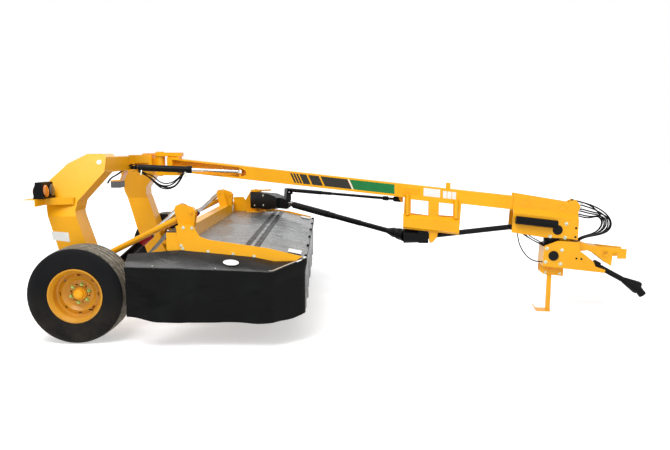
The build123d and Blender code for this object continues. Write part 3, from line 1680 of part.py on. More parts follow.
# Telescoping tube above the shaft that turns the drive box with the tongue
steer_start = aim.from_local_coords(Vector(steer_pin_x, 0, steer_z))
steer_goal = aim.from_local_coords(Vector(aim_run - 230.0, 0, steer_lug_z))
steer_line = Plane(origin=steer_start, x_dir=-aim.y_dir, z_dir=steer_goal - steer_start)
steer_run = (steer_goal - steer_start).length
steer_radius = 22.0
steer_end = 560.0
steer_middle_radius = 18.5
steer_middle_start = 80.0
steer_middle_end = 720.0
steer_rod_radius = 15.0
steer_rod_start = 545.0
steer_collar = 70.0
with BuildPart() as steering_tube:
    on_line(steer_line, -60, steer_end, steer_radius)
    line_pin(steer_line, 0, steer_fork_half - 2, 19)
    on_line(steer_line, -61, steer_end + 1, steer_middle_radius + tube_gap, mode=Mode.SUBTRACT)
    for side in (-1, 1):
        centre = steer_line.from_local_coords(Vector(side * steer_middle_radius, 0, 0))
        with BuildSketch(Plane(origin=centre, z_dir=steer_line.x_dir * side)) as socket:
            Circle(8 + running_fit)
        extrude(socket.sketch, amount=20, mode=Mode.SUBTRACT)
save(steering_tube, "steering_tube")
with BuildPart() as steering_middle:
    on_line(steer_line, steer_middle_start, steer_middle_end, steer_middle_radius)
    on_line(
        steer_line,
        steer_middle_start - 1,
        steer_middle_end + 1,
        steer_rod_radius + tube_gap,
        mode=Mode.SUBTRACT,
    )
save(steering_middle, "steering_middle")
with BuildPart() as steering_rod:
    on_line(steer_line, steer_rod_start, steer_run - 20, steer_rod_radius)
    on_line(steer_line, steer_run - steer_collar, steer_run - 20, 23)
    on_line(steer_line, steer_run - 24, steer_run, 14)
save(steering_rod, "steering_rod")
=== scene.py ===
"""Looks of a trailed centre-pivot disc mower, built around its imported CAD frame.

Distances are millimetres, because they repeat the part's own sizes, and points are turned into metres as
they are placed. +X is forward, +Y is the machine's left, +Z is up. The carriage's frame starts at the
tongue's pivot, the tongue's frame turns with the tongue, and the aim's frame lies along the driveline.
"""

import math
from functools import partial

import bpy
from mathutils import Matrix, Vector, noise


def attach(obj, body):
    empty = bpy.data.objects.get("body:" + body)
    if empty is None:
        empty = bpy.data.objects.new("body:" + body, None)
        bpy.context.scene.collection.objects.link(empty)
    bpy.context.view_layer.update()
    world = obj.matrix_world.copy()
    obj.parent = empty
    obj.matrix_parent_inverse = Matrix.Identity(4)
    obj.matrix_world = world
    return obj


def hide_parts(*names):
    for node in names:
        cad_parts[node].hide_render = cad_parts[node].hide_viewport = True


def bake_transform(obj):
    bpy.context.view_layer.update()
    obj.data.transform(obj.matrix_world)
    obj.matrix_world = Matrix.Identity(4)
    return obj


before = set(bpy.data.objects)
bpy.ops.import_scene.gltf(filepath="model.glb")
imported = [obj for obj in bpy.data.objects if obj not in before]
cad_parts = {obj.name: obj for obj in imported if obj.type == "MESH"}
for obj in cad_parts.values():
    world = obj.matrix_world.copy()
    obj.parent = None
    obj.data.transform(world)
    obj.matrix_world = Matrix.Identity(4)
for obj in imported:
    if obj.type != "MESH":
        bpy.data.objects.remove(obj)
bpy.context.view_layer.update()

MM = 0.001
SIDES = (-1, 1)
HANDS = ((-1, "right"), (1, "left"))
PIVOT_X = -2011.25
TONGUE_TURN = math.radians(7.6)
AIM_SPOT = (815.0, 1500.0)
JOINT_X = 2520.0
BOOM_START = 95.0
BOOM_START_TOP = 1484.0
BOOM_DEPTH = 131.0
BOOM_SLOPE = math.radians(6.0)
BOOM_HALF = 63.5
HOUSING_HALF = 125.0


# Frames of the carriage, the tongue and the driveline's aim
def in_frame(x, y, z, origin, turn):
    c, s = math.cos(turn), math.sin(turn)
    return Vector((PIVOT_X + origin[0] + x * c - y * s, origin[1] + x * s + y * c, z)) * MM


def on_carriage(x, y, z):
    return Vector((PIVOT_X + x, y, z)) * MM


def on_tongue(x, y, z):
    return in_frame(x, y, z, (0.0, 0.0), -TONGUE_TURN)


AIM_AHEAD = on_tongue(JOINT_X, 0, 0).x / MM - PIVOT_X - AIM_SPOT[0]
AIM_ASIDE = on_tongue(JOINT_X, 0, 0).y / MM - AIM_SPOT[1]
AIM_TURN = math.atan2(AIM_ASIDE, AIM_AHEAD)
AIM_RUN = math.hypot(AIM_AHEAD, AIM_ASIDE)


def on_aim(x, y, z):
    return in_frame(x, y, z, AIM_SPOT, AIM_TURN)


def way(to_world, x, y, z):
    """A direction of a frame, as a vector in metres."""
    return to_world(x, y, z) - to_world(0, 0, 0)


def boom_bottom(x):
    return BOOM_START_TOP - (x - BOOM_START) * math.tan(BOOM_SLOPE) - BOOM_DEPTH


# Small helpers
def spread(low, high, count):
    """Evenly spaced values from low to high."""
    return [low + (high - low) * k / count for k in range(count + 1)]


def corners(left, right, bottom, top):
    """The four corners of a rectangle, in order round it."""
    return ((left, bottom), (right, bottom), (right, top), (left, top))


def bell(value, centre, width):
    """A smooth hump, 1 high at its centre."""
    return math.exp(-(((value - centre) / width) ** 2))


def ripple(x, y, z):
    """Smooth noise about zero."""
    return noise.noise(Vector((x, y, z)))


# Meshes from code
class Shape:
    """Points and faces gathered into one piece."""

    def __init__(self):
        self.points = []
        self.faces = []

    def add(self, points, faces):
        base = len(self.points)
        self.points += [Vector(p) for p in points]
        self.faces += [[base + i for i in face] for face in faces]

    def flip(self):
        """Turn every face over."""
        self.faces = [face[::-1] for face in self.faces]

    def grid(self, rows, close_rows=False, close_columns=False):
        """A sheet through rows of points."""
        tall, wide = len(rows), len(rows[0])
        faces = []
        for i in range(tall if close_rows else tall - 1):
            for j in range(wide if close_columns else wide - 1):
                a, b = i, (i + 1) % tall
                c, d = j, (j + 1) % wide
                faces.append((a * wide + c, a * wide + d, b * wide + d, b * wide + c))
        self.add([p for row in rows for p in row], faces)

    def sheet(self, upper, lower):
        """A closed thin sheet between two grids of points."""
        tall, wide = len(upper), len(upper[0])
        base = len(self.points)
        self.grid(upper + lower[::-1], close_rows=True)
        for i in range(tall - 1):
            for column in (0, wide - 1):
                top = base + i * wide + column
                below = top + wide
                far = base + (2 * tall - 1 - i) * wide + column
                near = far - wide
                self.faces.append((top, below, near, far) if column == 0 else (top, far, near, below))

    def loft(self, near, far):
        """A closed piece between two outlines."""
        count = len(near)
        faces = [list(range(count))[::-1], list(range(count, 2 * count))]
        faces += [(i, (i + 1) % count, count + (i + 1) % count, count + i) for i in range(count)]
        self.add([*near, *far], faces)

    def slab(self, outline, depth):
        """A plate: an outline of points pushed along a vector."""
        self.loft(outline, [Vector(p) + Vector(depth) for p in outline])

    def box(self, low, high, to_world):
        """A box between two corners of a frame."""
        outline = [to_world(x, low[1], z) for x, z in corners(low[0], high[0], low[2], high[2])]
        self.slab(outline, to_world(low[0], high[1], low[2]) - outline[0])

    def turned(self, centre, axis, profile, sides):
        """A round piece: a profile of (along, radius) in mm, round an axis."""
        axis = Vector(axis).normalized()
        across = axis.orthogonal().normalized()
        other = axis.cross(across)
        turns = [2 * math.pi * k / sides for k in range(sides)]
        spokes = [across * math.cos(turn) + other * math.sin(turn) for turn in turns]
        rows = []
        for along, radius in profile:
            spot = Vector(centre) + axis * along * MM
            rows.append([spot + spoke * max(radius, 0.01) * MM for spoke in spokes])
        first = len(self.points)
        last = first + (len(rows) - 1) * sides
        self.grid(rows, close_columns=True)
        self.faces.append(list(range(first, first + sides))[::-1])
        self.faces.append(list(range(last, last + sides)))

    def bolt(self, spot, axis, size):
        """A hex bolt head on its washer; size is about the head's half width."""
        axis = Vector(axis).normalized()
        foot = Vector(spot) + axis * 1.9 * MM
        height = size * 0.75
        self.turned(spot, axis, ((-0.5, size * 1.5), (1.6, size * 1.5), (2.0, size * 1.4)), 20)
        self.turned(foot, axis, ((-0.5, size * 1.1), (height * 0.8, size * 1.1), (height, size * 0.92)), 6)
        self.turned(foot, axis, ((height - 0.4, size * 0.72), (height + size * 0.12, size * 0.6)), 14)


def thin_sheet(spot, rows, columns, thickness):
    """A closed sheet; spot(row, column, drop) gives a place on its face, or a drop behind the face."""
    shape = Shape()
    face, back = (
        [[spot(row, column, drop) for column in columns] for row in rows] for drop in (0.0, thickness)
    )
    shape.sheet(face, back)
    return shape


def place(name, shape, finish, body, smooth=True, sharp=34.0):
    """Make a gathered shape an object that rides on a body, or on none."""
    mesh = bpy.data.meshes.new(name)
    mesh.from_pydata([tuple(p) for p in shape.points], [], shape.faces)
    mesh.validate()
    mesh.materials.append(finish)
    if smooth:
        mesh.polygons.foreach_set("use_smooth", [True] * len(mesh.polygons))
        mesh.set_sharp_from_angle(angle=math.radians(sharp))
    mesh.update()
    obj = bpy.data.objects.new(name, mesh)
    bpy.context.scene.collection.objects.link(obj)
    if body:
        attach(obj, body)
    return obj


# Finishes; their edges and bumps are in metres
def colour(red, green, blue):
    """A colour as it reads on a screen, 0 to 255, as the shader's linear values."""
    linear = []
    for value in (red, green, blue):
        share = value / 255
        linear.append(share / 12.92 if share <= 0.04045 else ((share + 0.055) / 1.055) ** 2.4)
    return (*linear, 1.0)


class Graph:
    """A tree of shader nodes that is put together step by step."""

    def __init__(self, tree):
        self.nodes = tree.nodes
        self.links = tree.links

    def join(self, value, socket):
        """Link an output to a socket, or set the socket to a value."""
        if hasattr(value, "is_output"):
            self.links.new(value, socket)
        else:
            socket.default_value = value

    def node(self, kind, **inputs):
        """A new node with its inputs set or linked; an underscore stands for a space."""
        made = self.nodes.new(kind)
        for key, value in inputs.items():
            self.join(value, made.inputs[key.replace("_", " ")])
        return made

    def math(self, operation, first, second):
        made = self.nodes.new("ShaderNodeMath")
        made.operation = operation
        self.join(first, made.inputs[0])
        self.join(second, made.inputs[1])
        return made.outputs["Value"]

    def fade(self, value, low, high, at_low, at_high):
        """Turn a value that runs from low to high into one that runs from at_low to at_high."""
        made = self.node(
            "ShaderNodeMapRange", Value=value, From_Min=low, From_Max=high, To_Min=at_low, To_Max=at_high
        )
        return made.outputs["Result"]

    def background_rays(self):
        """1 where the camera, a mirror or glass looks at the background, 0 where it only lights."""
        rays = self.node("ShaderNodeLightPath").outputs
        seen = self.math("MAXIMUM", rays["Is Camera Ray"], rays["Is Glossy Ray"])
        return self.math("MAXIMUM", seen, rays["Is Transmission Ray"])


class Finish(Graph):
    """A material round one Principled shader; its colours are given as they read on a screen."""

    def __init__(self, name, **values):
        self.material = bpy.data.materials.new(name)
        self.material.use_nodes = True
        super().__init__(self.material.node_tree)
        self.shader = self.nodes["Principled BSDF"]
        self.spot = self.node("ShaderNodeTexCoord").outputs["Object"]
        self.normal = None
        for key, value in values.items():
            self.shader.inputs[key.replace("_", " ")].default_value = value

    def noise(self, scale, detail=4.0, roughness=0.55, stretch=None, distortion=0.0):
        vector = self.spot
        if stretch:
            vector = self.node("ShaderNodeMapping", Vector=vector, Scale=stretch).outputs["Vector"]
        made = self.node(
            "ShaderNodeTexNoise",
            Vector=vector,
            Scale=scale,
            Detail=detail,
            Roughness=roughness,
            Distortion=distortion,
        )
        return made.outputs["Fac"]

    def ramp(self, source, low, high):
        """Grey from one (position, value) to another."""
        made = self.node("ShaderNodeValToRGB", Fac=source)
        for element, (position, value) in zip(made.color_ramp.elements, (low, high)):
            element.position = position
            element.color = (value, value, value, 1.0)
        return made.outputs["Color"]

    def mix(self, share, first, second):
        made = self.nodes.new("ShaderNodeMix")
        made.data_type = "RGBA"
        self.join(share, made.inputs[0])
        for value, socket in ((first, made.inputs[6]), (second, made.inputs[7])):
            self.join(colour(*value) if isinstance(value, tuple) else value, socket)
        return made.outputs[2]

    def stain(self, base, other, scale, low, high, **how):
        """Blend a second colour over the base where a noise is high."""
        return self.mix(self.ramp(self.noise(scale, **how), (low, 0.0), (high, 1.0)), base, other)

    def bump(self, height, strength, distance):
        made = self.node("ShaderNodeBump", Height=height, Strength=strength, Distance=distance)
        if self.normal is not None:
            self.links.new(self.normal, made.inputs["Normal"])
        self.normal = made.outputs["Normal"]

    def rounded(self, radius):
        """Edges that catch the light as rounded ones do."""
        made = self.node("ShaderNodeBevel", Radius=radius)
        made.samples = 6
        self.normal = made.outputs["Normal"]

    def low_dust(self, base, height, amount):
        """Dust that gathers low on the machine and fades upwards."""
        level = self.node("ShaderNodeSeparateXYZ", Vector=self.spot).outputs["Z"]
        patches = self.ramp(self.noise(5.0, detail=6.0), (0.35, 0.0), (0.7, 1.0))
        share = self.math("MULTIPLY", self.fade(level, 0.0, height, amount, 0.0), patches)
        return self.mix(share, base, DUST)

    def done(self, base, rough=None):
        self.links.new(base, self.shader.inputs["Base Color"])
        if rough is not None:
            self.links.new(rough, self.shader.inputs["Roughness"])
        self.links.new(self.normal, self.shader.inputs["Normal"])
        return self.material


DUST = (150, 132, 104)


def painted(name, base, shade, rough=(0.28, 0.42), edge=0.0025, dust=0.25, gloss=0.25, coat=0.1):
    """Glossy paint on steel, slightly uneven, a little dusty low down."""
    finish = Finish(name, Coat_Weight=coat, Coat_Roughness=0.12, Specular_IOR_Level=gloss)
    finish.rounded(edge)
    finish.bump(finish.noise(420.0, detail=2.0), 0.05, 0.0006)
    finish.bump(finish.noise(9.0, detail=3.0), 0.10, 0.0015)
    body = finish.low_dust(finish.stain(base, shade, 2.2, 0.38, 0.78, detail=5.0), 0.75, dust)
    return finish.done(body, finish.ramp(finish.noise(14.0), (0.3, rough[0]), (0.75, rough[1])))


def rubber(
    name, base, shade, rough, grain=700.0, fold=0.0, dust=0.0, gloss=0.1, mottle_and_sheen=3.0, spots=(0.35, 0.8)
):
    """Rubber sheet or moulding with a fine grain, its second colour in broad or small spots (on the skirt and
    rear flaps, painted sheen).
    """
    finish = Finish(name, Specular_IOR_Level=gloss)
    finish.bump(finish.noise(grain, detail=3.0), 0.12, 0.0006)
    if fold:
        finish.bump(finish.noise(3.2, detail=5.0, stretch=(1.0, 1.0, 2.4), distortion=0.6), fold, 0.02)
    body = finish.low_dust(finish.stain(base, shade, mottle_and_sheen, *spots, detail=3.0 if fold else 6.0), 0.6, dust)
    return finish.done(body, finish.ramp(finish.noise(6.0), (0.3, rough[0]), (0.7, rough[1])))


def metal(name, base, shade, rough):
    """Bare or plated metal with fine marks."""
    finish = Finish(name, Metallic=1.0)
    marks = finish.noise(160.0, detail=3.0)
    finish.bump(marks, 0.08, 0.0004)
    body = finish.stain(base, shade, 20.0, 0.4, 0.75)
    return finish.done(body, finish.ramp(marks, (0.3, rough[0]), (0.7, rough[1])))


def tyre_rubber():
    """Tyre: dark sidewalls, and a dusty tread where the mesh says rib."""
    finish = Finish("tyre_rubber", Specular_IOR_Level=0.12)
    finish.bump(finish.noise(240.0, detail=4.0), 0.25, 0.0008)
    finish.bump(finish.noise(30.0, detail=4.0), 0.12, 0.002)
    wall = finish.low_dust(finish.stain((8, 9, 11), (20, 20, 22), 6.0, 0.35, 0.75), 0.45, 0.12)
    worn = finish.stain((150, 143, 128), (92, 87, 78), 26.0, 0.35, 0.7, detail=6.0)
    rib = finish.nodes.new("ShaderNodeAttribute")
    rib.attribute_name = "rib"
    body = finish.mix(rib.outputs["Fac"], wall, worn)
    return finish.done(body, finish.ramp(finish.noise(12.0), (0.3, 0.52), (0.7, 0.72)))


def cover_sheet():
    """Glossy coated cover of the deck, wrinkled, with painted highlight in lighter patches and painted shade
    in darker ones.
    """
    finish = Finish("cover_sheet", Specular_IOR_Level=0.62, Coat_Weight=0.3, Coat_Roughness=0.2)
    finish.bump(finish.noise(900.0, detail=2.0), 0.10, 0.0005)
    wrinkles = finish.noise(2.6, detail=7.0, roughness=0.62, stretch=(2.2, 0.8, 1.0), distortion=1.2)
    finish.bump(wrinkles, 0.55, 0.03)
    # Lighter patches in the cover's colour are painted highlight; the darker patches laid over them are
    # painted shade.
    body = finish.stain((66, 69, 70), (112, 115, 114), 2.4, 0.38, 0.68, detail=7.0, distortion=1.0)
    body = finish.stain(body, (34, 36, 37), 5.0, 0.5, 0.76, detail=8.0, distortion=2.0)
    return finish.done(body, finish.ramp(finish.noise(7.0, detail=6.0), (0.3, 0.22), (0.7, 0.42)))


def lens(name, base, glow):
    """Ribbed transparent plastic of a lamp."""
    finish = Finish(
        name, Roughness=0.12, IOR=1.49, Transmission_Weight=0.25, Coat_Weight=0.6, Coat_Roughness=0.05
    )
    wave = finish.node("ShaderNodeTexWave", Vector=finish.spot, Scale=60.0, Distortion=0.0)
    wave.bands_direction = "Z"
    finish.bump(wave.outputs["Fac"], 0.35, 0.002)
    return finish.done(finish.stain(base, glow, 30.0, 0.4, 0.7))


def printed(name, base, shade):
    """Vinyl film on the paint."""
    finish = Finish(name, Coat_Weight=0.06, Coat_Roughness=0.2, Specular_IOR_Level=0.25)
    finish.bump(finish.noise(300.0, detail=2.0), 0.05, 0.0004)
    rough = finish.ramp(finish.noise(18.0), (0.3, 0.3), (0.7, 0.45))
    return finish.done(finish.stain(base, shade, 12.0, 0.4, 0.8), rough)


YELLOW = painted("yellow_paint", (247, 176, 14), (238, 164, 8), dust=0.12)
BLACK_PAINT = painted(
    "dark_paint", (10, 10, 12), (18, 18, 20), rough=(0.3, 0.5), dust=0.03, gloss=0.12, coat=0.02
)
# A darker copy of the yellow paint on the rims: painted shade, with dust low down.
SHADED_RIM_PAINT = painted("rim_paint_shaded", (214, 148, 18), (188, 126, 14), dust=0.3, gloss=0.35)
CAST = painted("cast_grey", (104, 108, 112), (84, 88, 92), rough=(0.45, 0.65))
RED = painted("lock_red", (190, 26, 30), (160, 20, 26), edge=0.001)
PLASTIC = rubber("guard_plastic", (10, 10, 12), (19, 19, 21), (0.34, 0.5), grain=500.0, dust=0.03)
# Skirt and rear flaps: the lighter second colour in broad soft spots is painted sheen.
SKIRT = rubber(
    "skirt_rubber", (2, 3, 2), (22, 24, 25), (0.22, 0.4), fold=0.6, mottle_and_sheen=1.3, spots=(0.46, 0.66)
)
END_COVER = rubber("cover_rubber", (10, 9, 9), (40, 36, 34), (0.2, 0.4), fold=0.35, gloss=0.3, mottle_and_sheen=2.6)
HOSE = rubber("hose_rubber", (13, 13, 14), (22, 22, 23), (0.35, 0.5), grain=1200.0)
TYRE = tyre_rubber()
COVER = cover_sheet()
CHROME = metal("rod_chrome", (214, 217, 220), (190, 193, 197), (0.08, 0.2))
STEEL = metal("grey_steel", (150, 150, 150), (118, 116, 112), (0.3, 0.5))
ZINC = metal("zinc_plate", (196, 204, 190), (170, 178, 150), (0.25, 0.42))
GREEN_ZINC = metal("green_zinc", (176, 200, 120), (150, 176, 100), (0.3, 0.45))
EDGE_STRIP = metal("edge_strip", (206, 208, 208), (172, 174, 172), (0.25, 0.5))
AMBER = lens("lens_amber", (240, 120, 20), (250, 160, 60))
RED_LENS = lens("lens_red", (150, 14, 16), (200, 36, 30))
CLEAR_LENS = lens("lens_dark", (70, 56, 50), (110, 92, 80))
STRIPE = printed("stripe_dark", (40, 38, 30), (48, 46, 38))
DEEP_YELLOW = printed("film_yellow", (240, 168, 6), (232, 160, 4))
GREEN = printed("stripe_green", (18, 118, 58), (14, 108, 50))
WHITE = printed("plate_white", (238, 238, 234), (226, 227, 224))

NODE_FINISH = {
    CAST: "valve_block",
    SHADED_RIM_PAINT: "rim_right rim_left",
    PLASTIC: "lamp_housings document_tube middle_gearbox pto_shaft",
    BLACK_PAINT: (
        "swing_barrel lift_barrels front_shaft upper_gearbox lower_gearbox drive_box drive_head drive_rear "
        "drive_first drive_second drive_inner steering_tube steering_middle steering_rod cutterbar"
    ),
    CHROME: "swing_rod lift_rods",
    STEEL: "drive_cross disc_1 disc_2 disc_3 disc_4 disc_5 disc_6 disc_7 disc_8",
    SKIRT: "skirts rear_flaps",
    END_COVER: "end_covers",
    COVER: "deck_cover",
    TYRE: "tyre_right tyre_left",
}


def dress_frame():
    """Give every CAD node that shows its finish; what isn't named is yellow steel."""
    finish_of = {node: finish for finish, nodes in NODE_FINISH.items() for node in nodes.split()}
    for name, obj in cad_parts.items():
        finish = finish_of.get(name, YELLOW)
        for material_slot in obj.material_slots:
            material_slot.link = "OBJECT"
            material_slot.material = finish
        if not obj.material_slots:
            obj.data.materials.append(finish)


# Wheels
AXLE_BACK = 309.0
AXLE_Z = 393.5
WHEEL_Y = 1436.5
TYRE_SEGMENTS = 220
BEAD = (131.5, 198.0)
BEAD_STEPS = ((-149.0, 214.5), (-155.0, 221.0))
# Rows of the tyre: sideways, radius; the shoulder and the grooves also say rib and zigzag
TYRE_WALL = (
    (-159.0, 229.0), (-163.5, 243.0), (-164.5, 246.0), (-168.0, 262.0), (-170.6, 284.0), (-171.4, 305.0),
    (-170.9, 309.0), (-171.3, 312.0), (-170.0, 330.0), (-166.6, 350.0), (-165.2, 353.0), (-164.0, 357.0),
    (-158.0, 373.0), (-153.0, 381.0),
)
SHOULDER = (-148.0, 385.5, 0.6, 0.4)
GROOVES = (-92.0, -31.0, 31.0, 92.0)
GROOVE_SIDE = ((8.5, 0.0, 1.0, 1.0), (7.0, 1.2, 0.5, 1.0), (4.2, 10.0, 0.0, 0.7))
GROOVE_CROWN = 393.0
RIB_CROWN = 393.4
RIB_HALF = 30.5
ZIGZAG = (2.2, 0.77, -2.2, -0.77)
HUB_FACE = 41.5
STUDS = 6
STUD_RADIUS = 76.0
STUD_TURN = 0.3
# Washer, nut and stud: profile, number of sides
NUT_PARTS = (
    (((-0.5, 16.5), (2.0, 16.5), (3.0, 15.5)), 20),
    (((2.0, 14.0), (13.0, 14.0), (16.0, 11.25)), 6),
    (((12.0, 7.4), (22.0, 7.2), (23.0, 6.2)), 14),
)
RIM_HOLE = ((-4.0, 6.5), (0.7, 6.5))
HUB_CAP = (
    (12.0, 50.0), (22.0, 49.0), (25.0, 46.5), (26.0, 42.0), (44.0, 41.0), (52.0, 38.0), (57.0, 31.0),
    (60.0, 18.0), (61.0, 6.0),
)
STEM = ((-8.0, 6.0), (12.0, 5.6), (13.0, 4.0), (32.0, 4.0), (33.0, 5.0), (42.0, 5.0))
STEM_TURN = math.radians(-52.0)
STEM_RADIUS = 165.0
STEM_OUT = 74.0
STEM_LEAN = (-0.35, 0.3)


def on_wheel(side, out, radius, turn):
    """A point round the axle: how far outside the wheel's middle, its radius and its turn."""
    return on_carriage(
        -AXLE_BACK + radius * math.cos(turn), side * (WHEEL_Y + out), AXLE_Z + radius * math.sin(turn)
    )


def crown_drop(y):
    """How much lower the tread lies away from its middle."""
    return 5.0 * (y / 150.0) ** 2


def tyre_profile():
    """Rows of (sideways, radius, how far the row is tread rib, how much it zigzags)."""
    edge = [(-BEAD[0], BEAD[1], 0.0, 0.0)]
    half = [(y, radius, 0.0, 0.0) for y, radius in BEAD_STEPS + TYRE_WALL] + [SHOULDER]
    tread = []
    for spot in GROOVES:
        crown = GROOVE_CROWN - crown_drop(spot)
        tread += [(spot - out, crown - drop, rib, zig) for out, drop, rib, zig in GROOVE_SIDE]
        tread += [(spot + out, crown - drop, rib, zig) for out, drop, rib, zig in GROOVE_SIDE[::-1]]
        if spot != GROOVES[-1]:
            tread.append((spot + RIB_HALF, RIB_CROWN - crown_drop(spot + RIB_HALF), 1.0, 0.0))
    mirrored = [(-y, radius, rib, zig) for y, radius, rib, zig in (edge + half)[::-1]]
    return edge + half + tread + mirrored


def make_tyres():
    profile = tyre_profile()
    for side, hand in HANDS:
        rows = []
        for k in range(TYRE_SEGMENTS):
            turn = 2 * math.pi * k / TYRE_SEGMENTS
            sway = ZIGZAG[k % 4]
            rows.append([on_wheel(side, y + sway * zig, radius, turn) for y, radius, _, zig in profile])
        shape = Shape()
        shape.grid(rows, close_rows=True, close_columns=True)
        if side > 0:
            shape.flip()
        tyre = place(f"tyre_detail_{hand}", shape, TYRE, f"wheel_{hand}", sharp=50.0)
        mark = tyre.data.attributes.new("rib", "FLOAT", "POINT")
        mark.data.foreach_set("value", [rib for _, _, rib, _ in profile] * TYRE_SEGMENTS)
        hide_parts(f"tyre_{hand}")


def make_hubs():
    for side, hand in HANDS:
        wheel = f"wheel_{hand}"
        out = Vector((0, side, 0))
        nuts, holes, cap, stem = (Shape() for _ in range(4))
        for k in range(STUDS):
            spot = on_wheel(side, HUB_FACE, STUD_RADIUS, 2 * math.pi * k / STUDS + STUD_TURN)
            for profile, sides in NUT_PARTS:
                nuts.turned(spot, out, profile, sides)
            # Black discs between the studs stand in for holes in the rim; their black is painted shade.
            spot = on_wheel(side, HUB_FACE, STUD_RADIUS, 2 * math.pi * (k + 0.5) / STUDS + STUD_TURN)
            holes.turned(spot, out, RIM_HOLE, 16)
        cap.turned(on_wheel(side, HUB_FACE, 0.0, 0.0), out, HUB_CAP, 40)
        lean = Vector((STEM_LEAN[0] * math.cos(STEM_TURN), side, STEM_LEAN[1]))
        stem.turned(on_wheel(side, STEM_OUT, STEM_RADIUS, STEM_TURN), lean, STEM, 14)
        place(f"wheel_nuts_{hand}", nuts, GREEN_ZINC, wheel)
        place(f"wheel_holes_{hand}", holes, BLACK_PAINT, wheel)
        place(f"hub_cap_{hand}", cap, YELLOW, wheel, sharp=28.0)
        place(f"valve_stem_{hand}", stem, HOSE, wheel)


# Lamps
# Each lamp's sideways place, front lens and rear lens
LAMPS = ((1215.0, CLEAR_LENS, RED_LENS), (1335.0, AMBER, AMBER))
LAMP_Z = 1222.0
LAMP_FRONT_X = -613.0
LAMP_REAR_X = -683.0
LAMP_REAR_EDGE = 1395.0
LAMP_REAR_SLOPE = 14.0 / 235.0
LAMP_LEAN = 0.105
BEZEL = ((-8.0, 55.0), (3.0, 55.0), (5.0, 53.5), (5.0, 50.5))
DOME = ((0.0, 50.0), (7.0, 49.5), (12.0, 45.0), (16.0, 34.0), (18.0, 18.0), (18.6, 4.0))


def make_lamps():
    lenses = {CLEAR_LENS: Shape(), AMBER: Shape(), RED_LENS: Shape()}
    bezels = Shape()
    for side in SIDES:
        for y, front, rear in LAMPS:
            rear_x = LAMP_REAR_X - (LAMP_REAR_EDGE - y) * LAMP_REAR_SLOPE
            for facing, x, finish in ((1, LAMP_FRONT_X, front), (-1, rear_x, rear)):
                spot = on_carriage(x, side * y, LAMP_Z)
                lean = Vector((facing, 0, LAMP_LEAN))
                bezels.turned(spot, lean, BEZEL, 40)
                lenses[finish].turned(spot, lean, DOME, 40)
    for name, (finish, shape) in zip(("lens_clear", "lens_amber", "lens_red"), lenses.items()):
        place(name, shape, finish, "carriage")
    place("lamp_bezels", bezels, PLASTIC, "carriage")


# Films and plates
FILM = 0.6
PLATE = 0.8
SLANT = 44.0
STRIPE_LEVELS = (0.17, 0.88)
STRIPES = ((1366, 1386), (1396, 1416), (1426, 1446), (1458, 1530), (1548, 1654), (1672, 1940))
WHITE_LINE = (1944, 1958)
# Blocks on the boom: start, end, slant at each, lower and upper level
GREEN_BLOCK = (1961, 2404, SLANT, 0, *STRIPE_LEVELS)
YELLOW_PATCH = (2440, 2650, 0, 0, 0.24, 0.72)
WIDE_PLATE = (2687, 2847, 0, 0, 0.14, 0.87)
SMALL_PLATES = [(x, x + 38, 0, 0, 0.24, 0.80) for x in (2874, 2918, 2962)]


def film(shape, outline, to_world, y, thickness):
    """A thin plate on an upright side of a frame; its outline is in x and z."""
    shape.slab([to_world(x, y, z) for x, z in outline], way(to_world, 0, thickness, 0))


def boom_outline(x_low, x_high, slant_low, slant_high, low, high):
    """A block on the boom's side; a slant says how far the lower corner stands ahead of the upper."""
    spots = ((x_low + slant_low, low), (x_high + slant_high, low), (x_high, high), (x_low, high))
    return [(x, boom_bottom(x) + BOOM_DEPTH * level) for x, level in spots]


def make_films():
    slanted = [(*span, SLANT, SLANT, *STRIPE_LEVELS) for span in (*STRIPES, WHITE_LINE)]
    for name, finish, slot, blocks in (
        ("boom_stripes", STRIPE, "dark_paint", slanted[:-1]),
        ("boom_patch", DEEP_YELLOW, "yellow_paint", [YELLOW_PATCH]),
        ("boom_block", GREEN, "dark_paint", [GREEN_BLOCK]),
        ("boom_plates", WHITE, "cover_rubber", [slanted[-1], WIDE_PLATE, *SMALL_PLATES]),
    ):
        shape = Shape()
        for side in SIDES:
            for block in blocks:
                film(shape, boom_outline(*block), on_tongue, side * BOOM_HALF, side * FILM)
        place(name, shape, finish, "tongue", smooth=False)


# Bolts and plates of the hitch, the header and the arms
HITCH_BOLTS = ((4030, 867), (3886, 744), (4022, 734))
HITCH_HOLES = ((4121, 827), (4117, 741))
LOWER_BOLTS = ((3860, 627), (3999, 614), (3851, 497), (3990, 481))
LOWER_HOLES = ((4135, 536), (4181, 532))
STAND_BOLTS = ((3868, 384), (4003, 374))
STAND_HALF = 50.0
EMBOSSES = ((3656, 1061), (3832, 1042), (4008, 1021))
EMBOSS_Y = BOOM_HALF + 8.0
EMBOSS = ((-1.0, 34.0), (1.6, 33.0), (2.4, 31.0), (1.4, 28.0), (0.7, 26.0))
PANEL_Y = 1600.0
PANEL_BOLTS = ((564, 780), (765, 756), (963, 734), (1130, 716), (552, 804), (572, 947), (640, 944))
COVER_BOLTS = ((354.0, 660.0), (842.0, 640.48))
COVER_BOLT_Y = 1728.0
COVER_BOLT_LEAN = 0.6
BEAM_PLATE_X = 534.0
BEAM_PLATE = corners(1330, 1465, 800, 884)
DECK_PLATE = corners(1390, 1500, 1290, 1480)
DECK_PLATE_THICK = 1.0
ARM_Y = 1225.0
ARM_PLATE = ((-618, 800), (-474, 782), (-484, 862), (-628, 874))
ARM_LEAN = math.radians(24.0)
ARM_LEAN_Z = 1000.0
ARM_DOT = (-272.0, 1455.0)
ARM_DOT_RADIUS = 21.0


